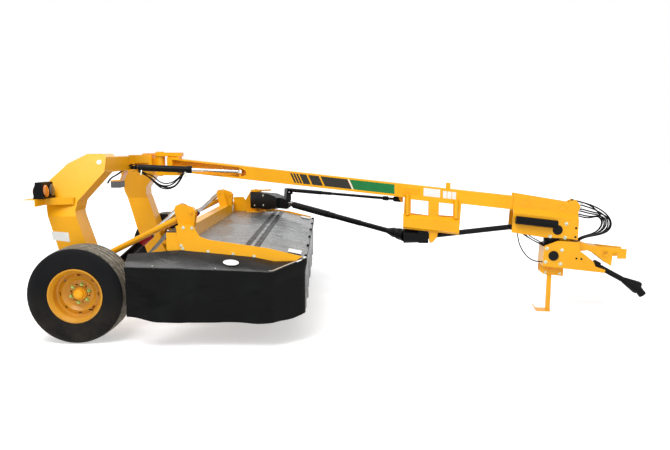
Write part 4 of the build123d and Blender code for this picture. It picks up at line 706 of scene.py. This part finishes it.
def make_hitch_fasteners():
    upper, lower, holes, lower_holes, rings = (Shape() for _ in range(5))
    for side in SIDES:
        out = way(on_tongue, 0, side, 0)
        outer = side * HOUSING_HALF
        for shape, spots, y, size in (
            (upper, HITCH_BOLTS, outer, 11.0),
            (lower, LOWER_BOLTS, outer, 11.0),
            (lower, STAND_BOLTS, side * STAND_HALF, 7.5),
        ):
            for x, z in spots:
                shape.bolt(on_tongue(x, y, z), out, size)
        # Black discs on the housing's sides stand in for its holes; their black is painted shade.
        for shape, spots, radius in ((holes, HITCH_HOLES, 11.0), (lower_holes, LOWER_HOLES, 10.0)):
            for x, z in spots:
                shape.turned(on_tongue(x, outer, z), out, ((-2.0, radius), (0.6, radius)), 20)
        for x, z in EMBOSSES:
            rings.turned(on_tongue(x, side * EMBOSS_Y, z), out, EMBOSS, 40)
    place("hitch_bolts", upper, ZINC, "tongue")
    place("hitch_bolts_lower", lower, ZINC, "hitch")
    place("hitch_holes", holes, BLACK_PAINT, "tongue")
    place("hitch_holes_lower", lower_holes, BLACK_PAINT, "hitch")
    place("housing_embosses", rings, YELLOW, "tongue")


def deck_plate_z(x):
    """Height of the plates on the deck's front slope."""
    return 702.5 - (x - 1546.0) * 0.206


def make_header_fasteners():
    bolts, plates = Shape(), Shape()
    for side in SIDES:
        for x, z in PANEL_BOLTS:
            bolts.bolt(on_carriage(x, side * PANEL_Y, z), (0, side, 0), 8.0)
        for x, z in COVER_BOLTS:
            bolts.bolt(on_carriage(x, side * COVER_BOLT_Y, z), (0, side * COVER_BOLT_LEAN, 1), 7.0)
        outline = [on_carriage(BEAM_PLATE_X, side * y, z) for y, z in BEAM_PLATE]
        plates.slab(outline, (PLATE * MM, 0, 0))
        outline = [on_carriage(x, side * y, deck_plate_z(x)) for x, y in DECK_PLATE]
        plates.slab(outline, (0, 0, DECK_PLATE_THICK * MM))
    place("header_bolts", bolts, ZINC, "header")
    place("header_plates", plates, WHITE, "header", smooth=False)


def make_arm_plates():
    plates = Shape()
    x, z = ARM_DOT
    for side in SIDES:
        film(plates, ARM_PLATE, on_carriage, side * ARM_Y, side * PLATE)
        out = Vector((0, side * math.cos(ARM_LEAN), math.sin(ARM_LEAN)))
        outer = ARM_Y - (z - ARM_LEAN_Z) * math.tan(ARM_LEAN)
        profile = ((-1.0, ARM_DOT_RADIUS), (PLATE, ARM_DOT_RADIUS))
        plates.turned(on_carriage(x, side * outer, z), out, profile, 32)
    place("arm_plates", plates, WHITE, "carriage", smooth=False)


# Skirt: hung from the rail round the header
HEADER_REAR = 142.0
HEADER_FRONT = 1552.0
HEADER_HALF = 1750.0
CUT_X = 262.0
CUT_Y = 190.0
CUT_START = HEADER_FRONT - CUT_X
SKIRT_SHEET = 4.0
SKIRT_STEP = 22.0
SKIRT_LEVELS = 22
SKIRT_TOP_REAR = 655.0
SKIRT_TOP_CUT = 612.0
SKIRT_TOP_FRONT = 694.0
SKIRT_BOTTOM = 214.0
SKIRT_LEAST, SKIRT_MOST = -34.0, -0.5
RAIL_SHARE = 0.09
TUCK, TUCK_SHARE = 12.0, 0.16
BELLY = 13.0
# Folds: depth, slant down the skirt, place, width, share of the drop where the fold is full
SKIRT_FOLDS = ((-12.0, 0.55, 1.05, 0.11, 0.05), (9.0, -0.9, 0.12, 0.09, 0.1))
# Waves: depth, pace along the skirt, pace down it, seed
SKIRT_WAVES = ((18.0, 0.0042, 0.7, 1.7), (8.0, 0.011, 1.6, 5.2))
# Lower edge: rise, place, width
SKIRT_HEMS = (
    (46.0, HEADER_REAR, 150.0), (30.0, HEADER_FRONT, 70.0), (-14.0, 1180.0, 150.0), (-8.0, 700.0, 220.0),
)


def skirt_path():
    """Stations round the header's skirt: place, outward direction, distance."""
    half = [(HEADER_REAR, HEADER_HALF), (CUT_START, HEADER_HALF), (HEADER_FRONT, HEADER_HALF - CUT_Y)]
    turns = [(x, -y) for x, y in half] + half[::-1]
    stations = []
    total = 0.0
    for low, high in zip(turns, turns[1:]):
        run = math.hypot(high[0] - low[0], high[1] - low[1])
        count = max(2, round(run / SKIRT_STEP))
        xs, ys = spread(low[0], high[0], count), spread(low[1], high[1], count)
        stations += list(zip(xs, ys, spread(total, total + run, count)))[:-1]
        total += run
    stations.append((*turns[-1], total))
    eased = []
    for k, (x, y, s) in enumerate(stations):
        low, high = stations[max(k - 1, 0)], stations[min(k + 1, len(stations) - 1)]
        pull = 0.5 if 0 < k < len(stations) - 1 else 0.0
        out = Vector((high[1] - low[1], low[0] - high[0], 0)).normalized()
        x += ((low[0] + high[0]) / 2 - x) * pull
        y += ((low[1] + high[1]) / 2 - y) * pull
        eased.append((x, y, out, s))
    return eased, total


def skirt_top(x):
    if x <= CUT_START:
        share = (x - HEADER_REAR) / (CUT_START - HEADER_REAR)
        return SKIRT_TOP_REAR + (SKIRT_TOP_CUT - SKIRT_TOP_REAR) * share
    return SKIRT_TOP_CUT + (SKIRT_TOP_FRONT - SKIRT_TOP_CUT) * (x - CUT_START) / CUT_X


def skirt_bottom(x, s):
    """Lower edge: lifted at the rear and front corners, sagging between."""
    hem = sum(rise * bell(x, spot, width) for rise, spot, width in SKIRT_HEMS)
    return SKIRT_BOTTOM + hem + 5.0 * ripple(s * 0.004, 3.1, 0.0)


def skirt_push(x, s, share):
    """How far the skirt stands out at a share of its drop: a belly and folds on the ends, waves in front."""
    below = max(0.0, share - RAIL_SHARE)
    behind = max(0.0, min(1.0, (CUT_START - x) / (CUT_START - HEADER_REAR)))
    push = SKIRT_MOST - TUCK * min(1.0, below / TUCK_SHARE) - 6.0 * below
    if behind > 0:
        push -= BELLY * math.sin(math.pi * min(1.0, behind * 1.25)) * below**1.3
        for depth, slant, spot, width, full in SKIRT_FOLDS:
            push += depth * bell(behind + share * slant, spot, width) * min(1.0, below / full)
    for depth, along, down, seed in SKIRT_WAVES:
        push += depth * ripple(s * along, share * down, seed) * below
    if x > HEADER_FRONT - 20.0:
        push += 7.0 * math.sin(s * 0.0125 + 1.4 * math.sin(s * 0.0031)) * below
    return max(SKIRT_LEAST, min(SKIRT_MOST, push))


def skirt_spot(share, station, drop):
    x, y, out, s = station
    top, bottom = skirt_top(x), skirt_bottom(x, s)
    push = skirt_push(x, s, share) - drop
    return on_carriage(x + out.x * push, y + out.y * push, top + (bottom - top) * share)


def make_skirts():
    stations, total = skirt_path()
    shape = thin_sheet(skirt_spot, spread(0.0, 1.0, SKIRT_LEVELS), stations, SKIRT_SHEET)
    obj = place("skirt_sheet", shape, SKIRT, "header", sharp=60.0)
    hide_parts("skirts")


# Cover of the deck, with its bars, clamps and corner strips
DECK_HALF = 1581.0
DECK_BACK = 535.0
DECK_STEP = 1105.0
DECK_Z = 787.5
DECK_FRONT = 1545.0
DECK_FRONT_Z = 694.0
DECK_SHEET = 1.6
DECK_COLUMNS = 150
DECK_TAPER_X, DECK_TAPER = 1510.0, 0.72
DECK_BAY = 900.0
DECK_SAG = 3.2
CREASE = 4.2
SEAM_PITCH = 640.0
SEAM_WIDTH = 52.0
SEAM_RISE = 2.4
BAR_SPOTS = (-64.0, 14.0)
BAR_WIDTH = 44.0
BAR_HALF = DECK_HALF - 24.0
BAR_EDGE = ((0.0, -1.0), (0.5, 4.0), (3.0, 5.6))
CLAMPS = (-1480.0, -900.0, -300.0, 300.0, 900.0, 1480.0)
CLAMP_X = (1524.0, 1551.0)
CLAMP_Z = (694.0, 703.0)
CLAMP_HALF = 22.0
CLAMP_KNOB = ((0, 9.0), (9.0, 9.0), (11.0, 7.0))
STRIP_RUN = (
    (1262.0, 1744.0, 622.0), (1290.0, 1738.0, 622.0), (1470.0, 1616.0, 678.0), (1548.0, 1556.0, 700.0),
)
STRIP_BACK, STRIP_IN, STRIP_RISE, STRIP_THICK = 16.0, 24.0, 3.0, 3.0


def deck_z(x, y):
    """Height of the stretched cover: sagging between its supports, wrinkled, with lapped seams."""
    z, span = DECK_Z, (x - DECK_BACK) / (DECK_STEP - DECK_BACK)
    if x > DECK_STEP:
        span = (x - DECK_STEP) / (DECK_FRONT - DECK_STEP)
        z += (DECK_FRONT_Z - DECK_Z) * span
    bay = (y % DECK_BAY) / DECK_BAY
    sag = -DECK_SAG * math.sin(math.pi * bay) * math.sin(math.pi * min(1.0, max(0.0, span)))
    crease = CREASE * (1 - abs(ripple(x * 0.00286, y * 0.00585, 4.0) * 2.4)) ** 3
    crease += 1.6 * ripple(x * 0.006, y * 0.013, 2.0)
    edge = min(1.0, (DECK_HALF - abs(y)) / 60.0, (x - DECK_BACK) / 40.0 + 0.1, (DECK_FRONT + 4 - x) / 40.0)
    lapped = (y - 0.03 * (x - DECK_BACK) + SEAM_WIDTH / 2) % SEAM_PITCH < SEAM_WIDTH
    return z + (sag + crease) * max(0.0, edge) + (SEAM_RISE if lapped else 0.0)


def deck_spot(x, share, drop):
    y = (DECK_HALF - max(0.0, x - DECK_TAPER_X) * DECK_TAPER) * share
    return on_carriage(x, y, deck_z(x, y) - drop)


def make_deck():
    stations = spread(DECK_BACK, DECK_STEP, 26) + spread(DECK_STEP, DECK_FRONT, 20)[1:]
    shape = thin_sheet(deck_spot, stations, spread(-1.0, 1.0, DECK_COLUMNS), DECK_SHEET)
    obj = place("deck_sheet", shape, COVER, "header", sharp=70.0)
    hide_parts("deck_cover")


def make_deck_trim():
    bars, clamps, strips = Shape(), Shape(), Shape()
    for x in (DECK_STEP + spot for spot in BAR_SPOTS):
        rows = []
        for y in spread(-BAR_HALF, BAR_HALF, 90):
            low, high = deck_z(x, y), deck_z(x + BAR_WIDTH, y)
            row = [on_carriage(x + inset, y, low + rise) for inset, rise in BAR_EDGE]
            row += [on_carriage(x + BAR_WIDTH - inset, y, high + rise) for inset, rise in BAR_EDGE[::-1]]
            rows.append(row)
        bars.grid(rows)
    for y in CLAMPS:
        low, high = (CLAMP_X[0], y - CLAMP_HALF, CLAMP_Z[0]), (CLAMP_X[1], y + CLAMP_HALF, CLAMP_Z[1])
        clamps.box(low, high, on_carriage)
        clamps.turned(on_carriage(1538.0, y, 702.0), (0, 0, 1), CLAMP_KNOB, 18)
    for side in SIDES:
        ends = [
            (on_carriage(x, side * y, z), on_carriage(x - STRIP_BACK, side * (y - STRIP_IN), z + STRIP_RISE))
            for x, y, z in STRIP_RUN
        ]
        for low, high in zip(ends, ends[1:]):
            strips.slab([low[0], high[0], high[1], low[1]], (0, 0, STRIP_THICK * MM))
    place("deck_bars", bars, BLACK_PAINT, "header", sharp=50.0)
    place("deck_clamps", clamps, BLACK_PAINT, "header")
    place("corner_strips", strips, EDGE_STRIP, "header")


# End covers, from the end panels out over the skirt's top
# Stations: x, then y and z of the inner edge and of the outer edge
COVER_STATIONS = (
    (142.0, 1640.0, 744.0, 1748.0, 661.0),
    (542.0, 1601.0, 768.0, 1748.0, 650.0),
    (1121.0, 1601.0, 711.0, 1748.0, 628.0),
    (1290.0, 1601.0, 676.0, 1744.0, 620.0),
    (1470.0, 1601.0, 678.0, 1613.0, 676.0),
)
COVER_STEP = 24.0
COVER_COLUMNS = 14
COVER_SHEET = 3.2
COVER_LIP = 9.0
OVAL_SPOT = (958.0, 1690.0, 682.0)
OVAL_HALF = (62.0, 30.0)
OVAL_SLOPE = (-0.07, -0.56)
OVAL_STEPS = 36
OVAL_THICK = 1.2


def cover_spot(side, station, share, drop):
    x, y_in, z_in, y_out, z_out = station
    crown = 5.0 + 4.0 * ripple(x * 0.005, share * 2.0, 7.0 + side)
    z = z_in + (z_out - z_in) * share + math.sin(math.pi * share) * crown - COVER_LIP * share**7
    return on_carriage(x, side * (y_in + (y_out - y_in) * share), z - drop)


def make_end_covers():
    stations = []
    for low, high in zip(COVER_STATIONS, COVER_STATIONS[1:]):
        count = max(3, round((high[0] - low[0]) / COVER_STEP))
        stations += list(zip(*(spread(a, b, count) for a, b in zip(low, high))))[:-1]
    stations.append(COVER_STATIONS[-1])
    for side, hand in HANDS:
        shape = thin_sheet(partial(cover_spot, side), stations, spread(0.0, 1.0, COVER_COLUMNS), COVER_SHEET)
        if side > 0:
            shape.flip()
        obj = place(f"end_cover_sheet_{hand}", shape, END_COVER, "header", sharp=60.0)
        if side < 0:
            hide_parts("end_covers")


def make_cover_ovals():
    ovals = Shape()
    x0, y0, z0 = OVAL_SPOT
    for side in SIDES:
        rows = []
        for layer in (0.0, OVAL_THICK):
            ring = []
            for k in range(OVAL_STEPS):
                turn = 2 * math.pi * k / OVAL_STEPS
                x, y = OVAL_HALF[0] * math.cos(turn), OVAL_HALF[1] * math.sin(turn)
                z = x * OVAL_SLOPE[0] + y * OVAL_SLOPE[1] + layer
                ring.append(on_carriage(x0 + x, side * (y0 + y), z0 + z))
            rows.append(ring)
        ovals.grid(rows, close_columns=True)
        top = len(ovals.points) - OVAL_STEPS
        ovals.faces.append(list(range(top, top + OVAL_STEPS)))
    place("cover_ovals", ovals, WHITE, "header", smooth=False)


# Rear flaps: a slope up to a level top
FLAP_START = (275.0, 733.0)
FLAP_RISE = (159.0, 179.0)
FLAP_BEND = 0.78
FLAP_TOP = 88.0
FLAP_SIDES = (1301.0, 1580.0)
FLAP_SHEET = 3.0
FLAP_SWAY = 5.0


def flap_spot(side, share, y, drop):
    slope = min(1.0, share / FLAP_BEND)
    sway = FLAP_SWAY * math.sin(math.pi * slope) * ripple(y * 0.008, share * 3.0, side)
    x = FLAP_START[0] + FLAP_RISE[0] * slope + FLAP_TOP * max(0.0, share - FLAP_BEND) / (1 - FLAP_BEND)
    z = FLAP_START[1] + FLAP_RISE[1] * slope
    return on_carriage(x + sway, side * y, z + sway * 0.5 - drop)


def make_flaps():
    for side, hand in HANDS:
        rows, columns = spread(0.0, 1.0, 18), spread(*FLAP_SIDES, 24)
        shape = thin_sheet(partial(flap_spot, side), rows, columns, FLAP_SHEET)
        if side < 0:
            shape.flip()
        obj = place(f"rear_flap_sheet_{hand}", shape, SKIRT, "header", sharp=60.0)
        if side < 0:
            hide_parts("rear_flaps")


# Hoses: their points are chosen one by one
# At the hitch: sideways, height at the top, reach ahead, height at the foot
HITCH_HOSES = (
    (-52, 1083, 4440, 716), (-34, 1047, 4420, 712), (-16, 1009, 4448, 722), (4, 987, 4404, 708),
    (24, 953, 4430, 726), (44, 933, 4398, 704), (60, 1083, 4412, 718),
)
HITCH_HOSE_RADIUS = 7.0
LOWER_HOSES = (
    (-88, (
        (3586, 772), (3592, 730), (3604, 668), (3640, 594),
        (3694, 528), (3762, 494), (3816, 490), (3842, 498),
    )),
    (-58, ((3640, 758), (3668, 738), (3728, 702), (3790, 672), (3836, 658), (3856, 640))),
    (-40, ((3660, 760), (3690, 726), (3750, 690), (3800, 664), (3840, 644), (3858, 622))),
    (-20, ((3690, 756), (3716, 730), (3764, 704), (3808, 680), (3842, 660), (3862, 634))),
)
LOWER_HOSE_RADIUS = 5.5
HITCH_BEND = ((4200, 0, 940), (4200, 0, 742))
LOWER_BEND = ((3700, 0, 740), (3800, 0, 600))
PIVOT_BEND = ((-60, -180, 1260), (230, -180, 1260))
# At the pivot: sideways, lowest height, reach ahead
PIVOT_HOSES = ((-150, 1172, 0), (-172, 1186, 14), (-196, 1198, -16), (-220, 1206, 8), (-128, 1226, -8))
ARM_HOSE = (
    (-430, -340, 1238), (-404, -350, 1288), (-352, -352, 1308), (-290, -350, 1352), (-214, -330, 1420),
)
ARM_HOSE_ENDS = [(-176, -318, 1424), (-150, -310, 1412)]
ARM_HOSE_PITCH = 18
REAR_HOSE_RADIUS = 6.5
FITTING_X = 4146
FITTING = ((-6, 9.5), (14, 9.5), (16, 8.5), (34, 8.5), (36, 9.5), (46, 9.5))


def hose_mesh(points, radius):
    """A smooth hose through the air: a NURBS line with a round bevel, as a mesh."""
    curve = bpy.data.curves.new("hose_line", "CURVE")
    curve.dimensions = "3D"
    curve.bevel_depth = radius * MM
    curve.bevel_resolution = 3
    curve.use_fill_caps = True
    spline = curve.splines.new("NURBS")
    spline.points.add(len(points) - 1)
    for target, point in zip(spline.points, points):
        target.co = (*point, 1.0)
    spline.order_u = 4
    spline.use_endpoint_u = True
    spline.resolution_u = 8
    holder = bpy.data.objects.new("hose_line", curve)
    mesh = bpy.data.meshes.new_from_object(holder)
    bpy.data.objects.remove(holder)
    bpy.data.curves.remove(curve)
    return mesh


def hoses(name, to_world, routes, radius, body, other=None, between=()):
    """Hoses through points of a frame, riding on one body, or on no body when another body is given."""
    shape = Shape()
    for route in routes:
        mesh = hose_mesh([to_world(*spot) for spot in route], radius)
        shape.add([v.co for v in mesh.vertices], [list(p.vertices) for p in mesh.polygons])
        bpy.data.meshes.remove(mesh)
    obj = place(name, shape, HOSE, None if other else body, sharp=60.0)
    if other:
        start, end = (to_world(*spot) for spot in between)
        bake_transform(obj)


def make_hitch_hoses():
    routes = []
    for y, top, reach, low in HITCH_HOSES:
        spread_y = y * 0.7
        start_x = 4118 if top > 1060 else 4158 - (top - 933) * 0.05
        route = (
            (start_x - 6, y, top),
            (start_x + 52, y, top - 14),
            (4282, y + spread_y * 0.6, top - 38),
            (reach - 22, y + spread_y, 956 - (1083 - top) * 0.12),
            (reach + 22, y + spread_y, 858),
            (reach - 26, y + spread_y * 0.8, 776),
            (4282, y * 0.8, 742),
            (4200, y * 0.62, low + 6),
            (4172, y * 0.5, low - 24),
        )
        routes.append(route)
    hoses("hitch_hoses", on_tongue, routes, HITCH_HOSE_RADIUS, "tongue", "hitch", HITCH_BEND)
    fittings = Shape()
    for y, top, _, _ in HITCH_HOSES[1:-1]:
        fittings.turned(on_tongue(FITTING_X, y, top), way(on_tongue, 1, 0, 0), FITTING, 12)
    place("hose_fittings", fittings, CHROME, "tongue")
    routes = [[(x, y, z) for x, z in route] for y, route in LOWER_HOSES]
    hoses("hitch_hoses_below", on_tongue, routes, LOWER_HOSE_RADIUS, "tongue", "hitch", LOWER_BEND)


def make_rear_hoses():
    routes = []
    for y, drop, reach in PIVOT_HOSES:
        route = (
            (-150, y - 60, 1352),
            (-104, y - 40, 1322),
            (-48, y, drop + 88),
            (22 + reach, y, drop + 8),
            (96 + reach, y + 16, drop - 8),
            (168 + reach, y + 40, drop + 14),
            (226, y + 52, drop + 84),
            (246, y * 0.15 - 26, 1322),
            (262, y * 0.12 - 38, 1362),
        )
        routes.append(route)
    hoses("pivot_hoses", on_carriage, routes, REAR_HOSE_RADIUS, "carriage", "tongue", PIVOT_BEND)
    routes = [
        [(x, y - shift, z) for x, y, z in ARM_HOSE] + ARM_HOSE_ENDS for shift in (0, ARM_HOSE_PITCH)
    ]
    hoses("arm_hoses", on_carriage, routes, REAR_HOSE_RADIUS, "carriage")


# Boots of the driveline and the steering rod
BOOT_Z = 1072.0
BOOT_NEAR = 64.0
BOOT_FAR = 158.0
BOOT_FOLDS = 7
BOOT_NECK, BOOT_DIP, BOOT_CREST = 17.0, 22.6, 26.5
ROD_END = 230.0
SHANK_RADIUS = 13.0
JOINT_Z = 715.0
BELL_GAP = 119.0
BELL_FOLDS = 4
SHAFT_SLOPE = 0.1157
BELL_START = [(2.0, 38.0), (2.5, 50.0)]
BELL_END = [(86.0, 62.0), (112.0, 64.0), (116.0, 40.0)]


def make_boots():
    boot, shank, guard = Shape(), Shape(), Shape()
    start = on_aim(AIM_RUN - BOOT_FAR, 0, BOOT_Z)
    along = on_aim(AIM_RUN, 0, BOOT_Z) - start
    length = BOOT_FAR - BOOT_NEAR
    pitch = length / BOOT_FOLDS
    profile = [(0.0, BOOT_NECK)]
    for k in range(BOOT_FOLDS):
        low = pitch * k
        crest = BOOT_CREST + 2.0 * (k + 0.5) / BOOT_FOLDS
        profile += [(low, BOOT_DIP), (low + pitch * 0.5, crest), (low + pitch * 0.9, BOOT_DIP)]
    profile.append((length, BOOT_NECK))
    boot.turned(start, along, profile, 28)
    start = on_aim(AIM_RUN - ROD_END - 6, 0, BOOT_Z)
    profile = ((0.0, SHANK_RADIUS - 1), (3.0, SHANK_RADIUS), (ROD_END - BOOT_FAR + 4, SHANK_RADIUS))
    shank.turned(start, along, profile, 20)
    start = on_aim(AIM_RUN - BELL_GAP, 0, JOINT_Z + BELL_GAP * SHAFT_SLOPE)
    folds = []
    for k in range(BELL_FOLDS):
        low = 14.0 + 16.0 * k
        folds += [(low, 52.0 + k), (low + 6.0, 56.0 + 1.5 * k), (low + 12.0, 53.0 + k)]
    guard.turned(start, on_aim(AIM_RUN, 0, JOINT_Z) - start, BELL_START + folds + BELL_END, 36)
    place("steering_boot", boot, PLASTIC, "tongue", sharp=70.0)
    place("steering_shank", shank, BLACK_PAINT, "steering_rod")
    place("joint_boot", guard, PLASTIC, "tongue", sharp=60.0)


# Folded edges of the driveline bracket
BRACKET_FACE = -BOOM_HALF - 8.0
FOLD_FACE = BRACKET_FACE - 32.0
SILL_FACE = FOLD_FACE - 6.0
BRACKET_POSTS = ((2507.0, 2567.0), (2973.0, 3037.0))
BRACKET_BACK, BRACKET_FRONT = 2491.0, 3036.0


def bracket_sill(x):
    """Height of the windows' lower edge, and how far the bracket's lower edge lies below it."""
    share = (x - BRACKET_BACK) / (BRACKET_FRONT - BRACKET_BACK)
    return 940.0 - 35.0 * share, 142.0 + 22.0 * share


def make_bracket_folds():
    folds = Shape()
    for low, high in BRACKET_POSTS:
        spots = ((low, BRACKET_FACE), (low + 14, FOLD_FACE), (high - 26, FOLD_FACE), (high - 4, BRACKET_FACE))
        foot = [on_tongue(x, y, bracket_sill(x)[0] - 8) for x, y in spots]
        folds.slab(foot, on_tongue(low, BRACKET_FACE, boom_bottom(low) + 30.0) - foot[0])
    ends = []
    for x in (BRACKET_BACK + 1, BRACKET_FRONT - 1):
        sill, drop = bracket_sill(x)
        spots = ((BRACKET_FACE, -2), (SILL_FACE, -34), (SILL_FACE, 20 - drop), (BRACKET_FACE, 2 - drop))
        ends.append([on_tongue(x, y, sill + rise) for y, rise in spots])
    folds.loft(*ends)
    place("bracket_folds", folds, YELLOW, "tongue", smooth=False)


# Drive box: bolts, and the plate of its head
BOX_BOLTS = ((70.0, 872.0), (250.0, 884.0), (250.0, 1006.0))
BOX_SIDE = -74.0
HEAD_SIDE = -44.0
HEAD_PLATE = ((622, 978), (652, 978), (690, 1112), (636, 1112))
HEAD_PLATE_THICK = 6.0


def make_drive_box_details():
    bolts, plate = Shape(), Shape()
    for x, z in BOX_BOLTS:
        bolts.bolt(on_aim(x, BOX_SIDE, z), way(on_aim, 0, -1, 0), 10.0)
    film(plate, HEAD_PLATE, on_aim, HEAD_SIDE, -HEAD_PLATE_THICK)
    place("drive_box_bolts", bolts, ZINC, "drive_box")
    place("drive_head_plate", plate, CAST, "drive_head", smooth=False)


# Rams
LIFT_RAM_Y = 1036
LIFT_RAM = ((-245, 470), (434, 1060))
LOCK = ((424, 31.0), (424, 37.0), (430, 38.5), (532, 38.5), (538, 37.0), (538, 31.0))
LIFT_SEAL = ((538, 30.2), (540, 33.0), (552, 33.0), (554, 20.8))
LIFT_PORTS = (84.0, 396.0)
LIFT_PORT = ((28, 12), (44, 12), (45, 9), (60, 9), (62, 11), (74, 11))
SWING_RAM = (on_carriage(-188, -300, 1391), on_tongue(850, -BOOM_HALF + 24, 1345))
SWING_GLANDS = (
    ((44, 34.5), (62, 34.5), (64, 32.4)),
    ((516, 32.4), (518, 37.0), (556, 37.0), (561, 34.0), (562, 18.0)),
)
SWING_PORTS = (78.0, 500.0)
SWING_PORT = ((28, 11), (46, 11), (47, 8.5), (62, 8.5), (64, 10.5), (74, 10.5))


def make_rams():
    locks, seals, fittings, glands, ports = (Shape() for _ in range(5))
    for side in SIDES:
        start, end = (on_carriage(x, side * LIFT_RAM_Y, z) for x, z in LIFT_RAM)
        along = (end - start).normalized()
        locks.turned(start, along, LOCK, 32)
        seals.turned(start, along, LIFT_SEAL, 28)
        for where in LIFT_PORTS:
            fittings.turned(start + along * where * MM, (0, 0, 1), LIFT_PORT, 12)
    start, end = SWING_RAM
    along = (end - start).normalized()
    for profile in SWING_GLANDS:
        glands.turned(start, along, profile, 32)
    for where in SWING_PORTS:
        ports.turned(start + along * where * MM, (0.0, -0.5, -1), SWING_PORT, 12)
    place("ram_locks", locks, RED, "lift_barrels")
    place("ram_seals", seals, BLACK_PAINT, "lift_barrels")
    place("ram_fittings", fittings, ZINC, "lift_barrels")
    place("swing_ram_glands", glands, BLACK_PAINT, "swing_barrel")
    place("swing_ram_ports", ports, ZINC, "swing_barrel")


# Stage, in metres
CAMERA = (-0.30625, -6.6732, 1.5464)
CAMERA_TURN = (math.pi / 2 - 0.1138, 0.0, -0.0138)
LENS_LENGTH = 34.55
SENSOR = 36.0
FLOOR_REACH = 60.0
FLOOR_Z = -0.002
FLOOR_GREY = (0.82, 0.82, 0.82, 1)
AMBIENT = (0.45, 0.455, 0.465, 1)
# Lamps: name, place, aim, size, power
LIGHTS = (
    ("key", (-2.5, -4.5, 7.0), (-0.3, 0.0, 0.6), 4.5, 470.0),
    ("fill", (4.5, -6.5, 3.0), (0.3, 0.0, 0.6), 4.0, 120.0),
    ("back", (1.0, 6.0, 6.0), (0.0, 0.0, 0.6), 5.0, 190.0),
)


def make_camera(scene):
    data = bpy.data.cameras.new("camera")
    data.lens = LENS_LENGTH
    data.sensor_width = SENSOR
    scene.camera = bpy.data.objects.new("camera", data)
    scene.camera.location = CAMERA
    scene.camera.rotation_euler = CAMERA_TURN
    scene.collection.objects.link(scene.camera)


def make_floor(scene):
    """A pale floor that keeps the shadow near the object and is white further off."""
    mesh = bpy.data.meshes.new("floor")
    spots = [(x, y, FLOOR_Z) for x, y in corners(-FLOOR_REACH, FLOOR_REACH, -FLOOR_REACH, FLOOR_REACH)]
    mesh.from_pydata(spots, [], [(0, 1, 2, 3)])
    obj = bpy.data.objects.new("floor", mesh)
    scene.collection.objects.link(obj)
    material = bpy.data.materials.new("floor")
    material.use_nodes = True
    material.node_tree.nodes.clear()
    graph = Graph(material.node_tree)
    distance = graph.node("ShaderNodeVectorMath")
    distance.operation = "LENGTH"
    graph.join(graph.node("ShaderNodeTexCoord").outputs["Object"], distance.inputs[0])
    white = graph.fade(distance.outputs["Value"], 2.5, 9.0, 0.46, 1.0)
    glow = graph.node("ShaderNodeEmission", Strength=graph.math("MULTIPLY", graph.background_rays(), white))
    both = graph.node("ShaderNodeAddShader")
    graph.join(graph.node("ShaderNodeBsdfDiffuse", Color=FLOOR_GREY).outputs["BSDF"], both.inputs[0])
    graph.join(glow.outputs["Emission"], both.inputs[1])
    graph.node("ShaderNodeOutputMaterial", Surface=both.outputs["Shader"])
    mesh.materials.append(material)


def make_world(scene):
    """A white background for what looks at it, and a softer light for what it lights."""
    scene.world = bpy.data.worlds.new("studio")
    scene.world.use_nodes = True
    scene.world.node_tree.nodes.clear()
    graph = Graph(scene.world.node_tree)
    mixed = graph.node("ShaderNodeMixShader", Fac=graph.background_rays())
    for colour_value, socket in ((AMBIENT, mixed.inputs[1]), ((1, 1, 1, 1), mixed.inputs[2])):
        graph.join(graph.node("ShaderNodeBackground", Color=colour_value).outputs["Background"], socket)
    graph.node("ShaderNodeOutputWorld", Surface=mixed.outputs["Shader"])


def make_lights(scene):
    for name, spot, aim, size, power in LIGHTS:
        lamp = bpy.data.lights.new(name, "AREA")
        lamp.size = size
        lamp.energy = power
        holder = bpy.data.objects.new(name, lamp)
        holder.location = spot
        holder.rotation_euler = (Vector(aim) - Vector(spot)).to_track_quat("-Z", "Y").to_euler()
        scene.collection.objects.link(holder)


def make_stage():
    scene = bpy.context.scene
    make_camera(scene)
    make_floor(scene)
    make_world(scene)
    make_lights(scene)
    scene.view_settings.view_transform = "Standard"


make_stage()
dress_frame()
make_tyres()
make_hubs()
make_lamps()
make_films()
make_hitch_fasteners()
make_header_fasteners()
make_arm_plates()
make_skirts()
make_deck()
make_deck_trim()
make_end_covers()
make_cover_ovals()
make_flaps()
make_hitch_hoses()
make_rear_hoses()
make_boots()
make_bracket_folds()
make_drive_box_details()
make_rams()
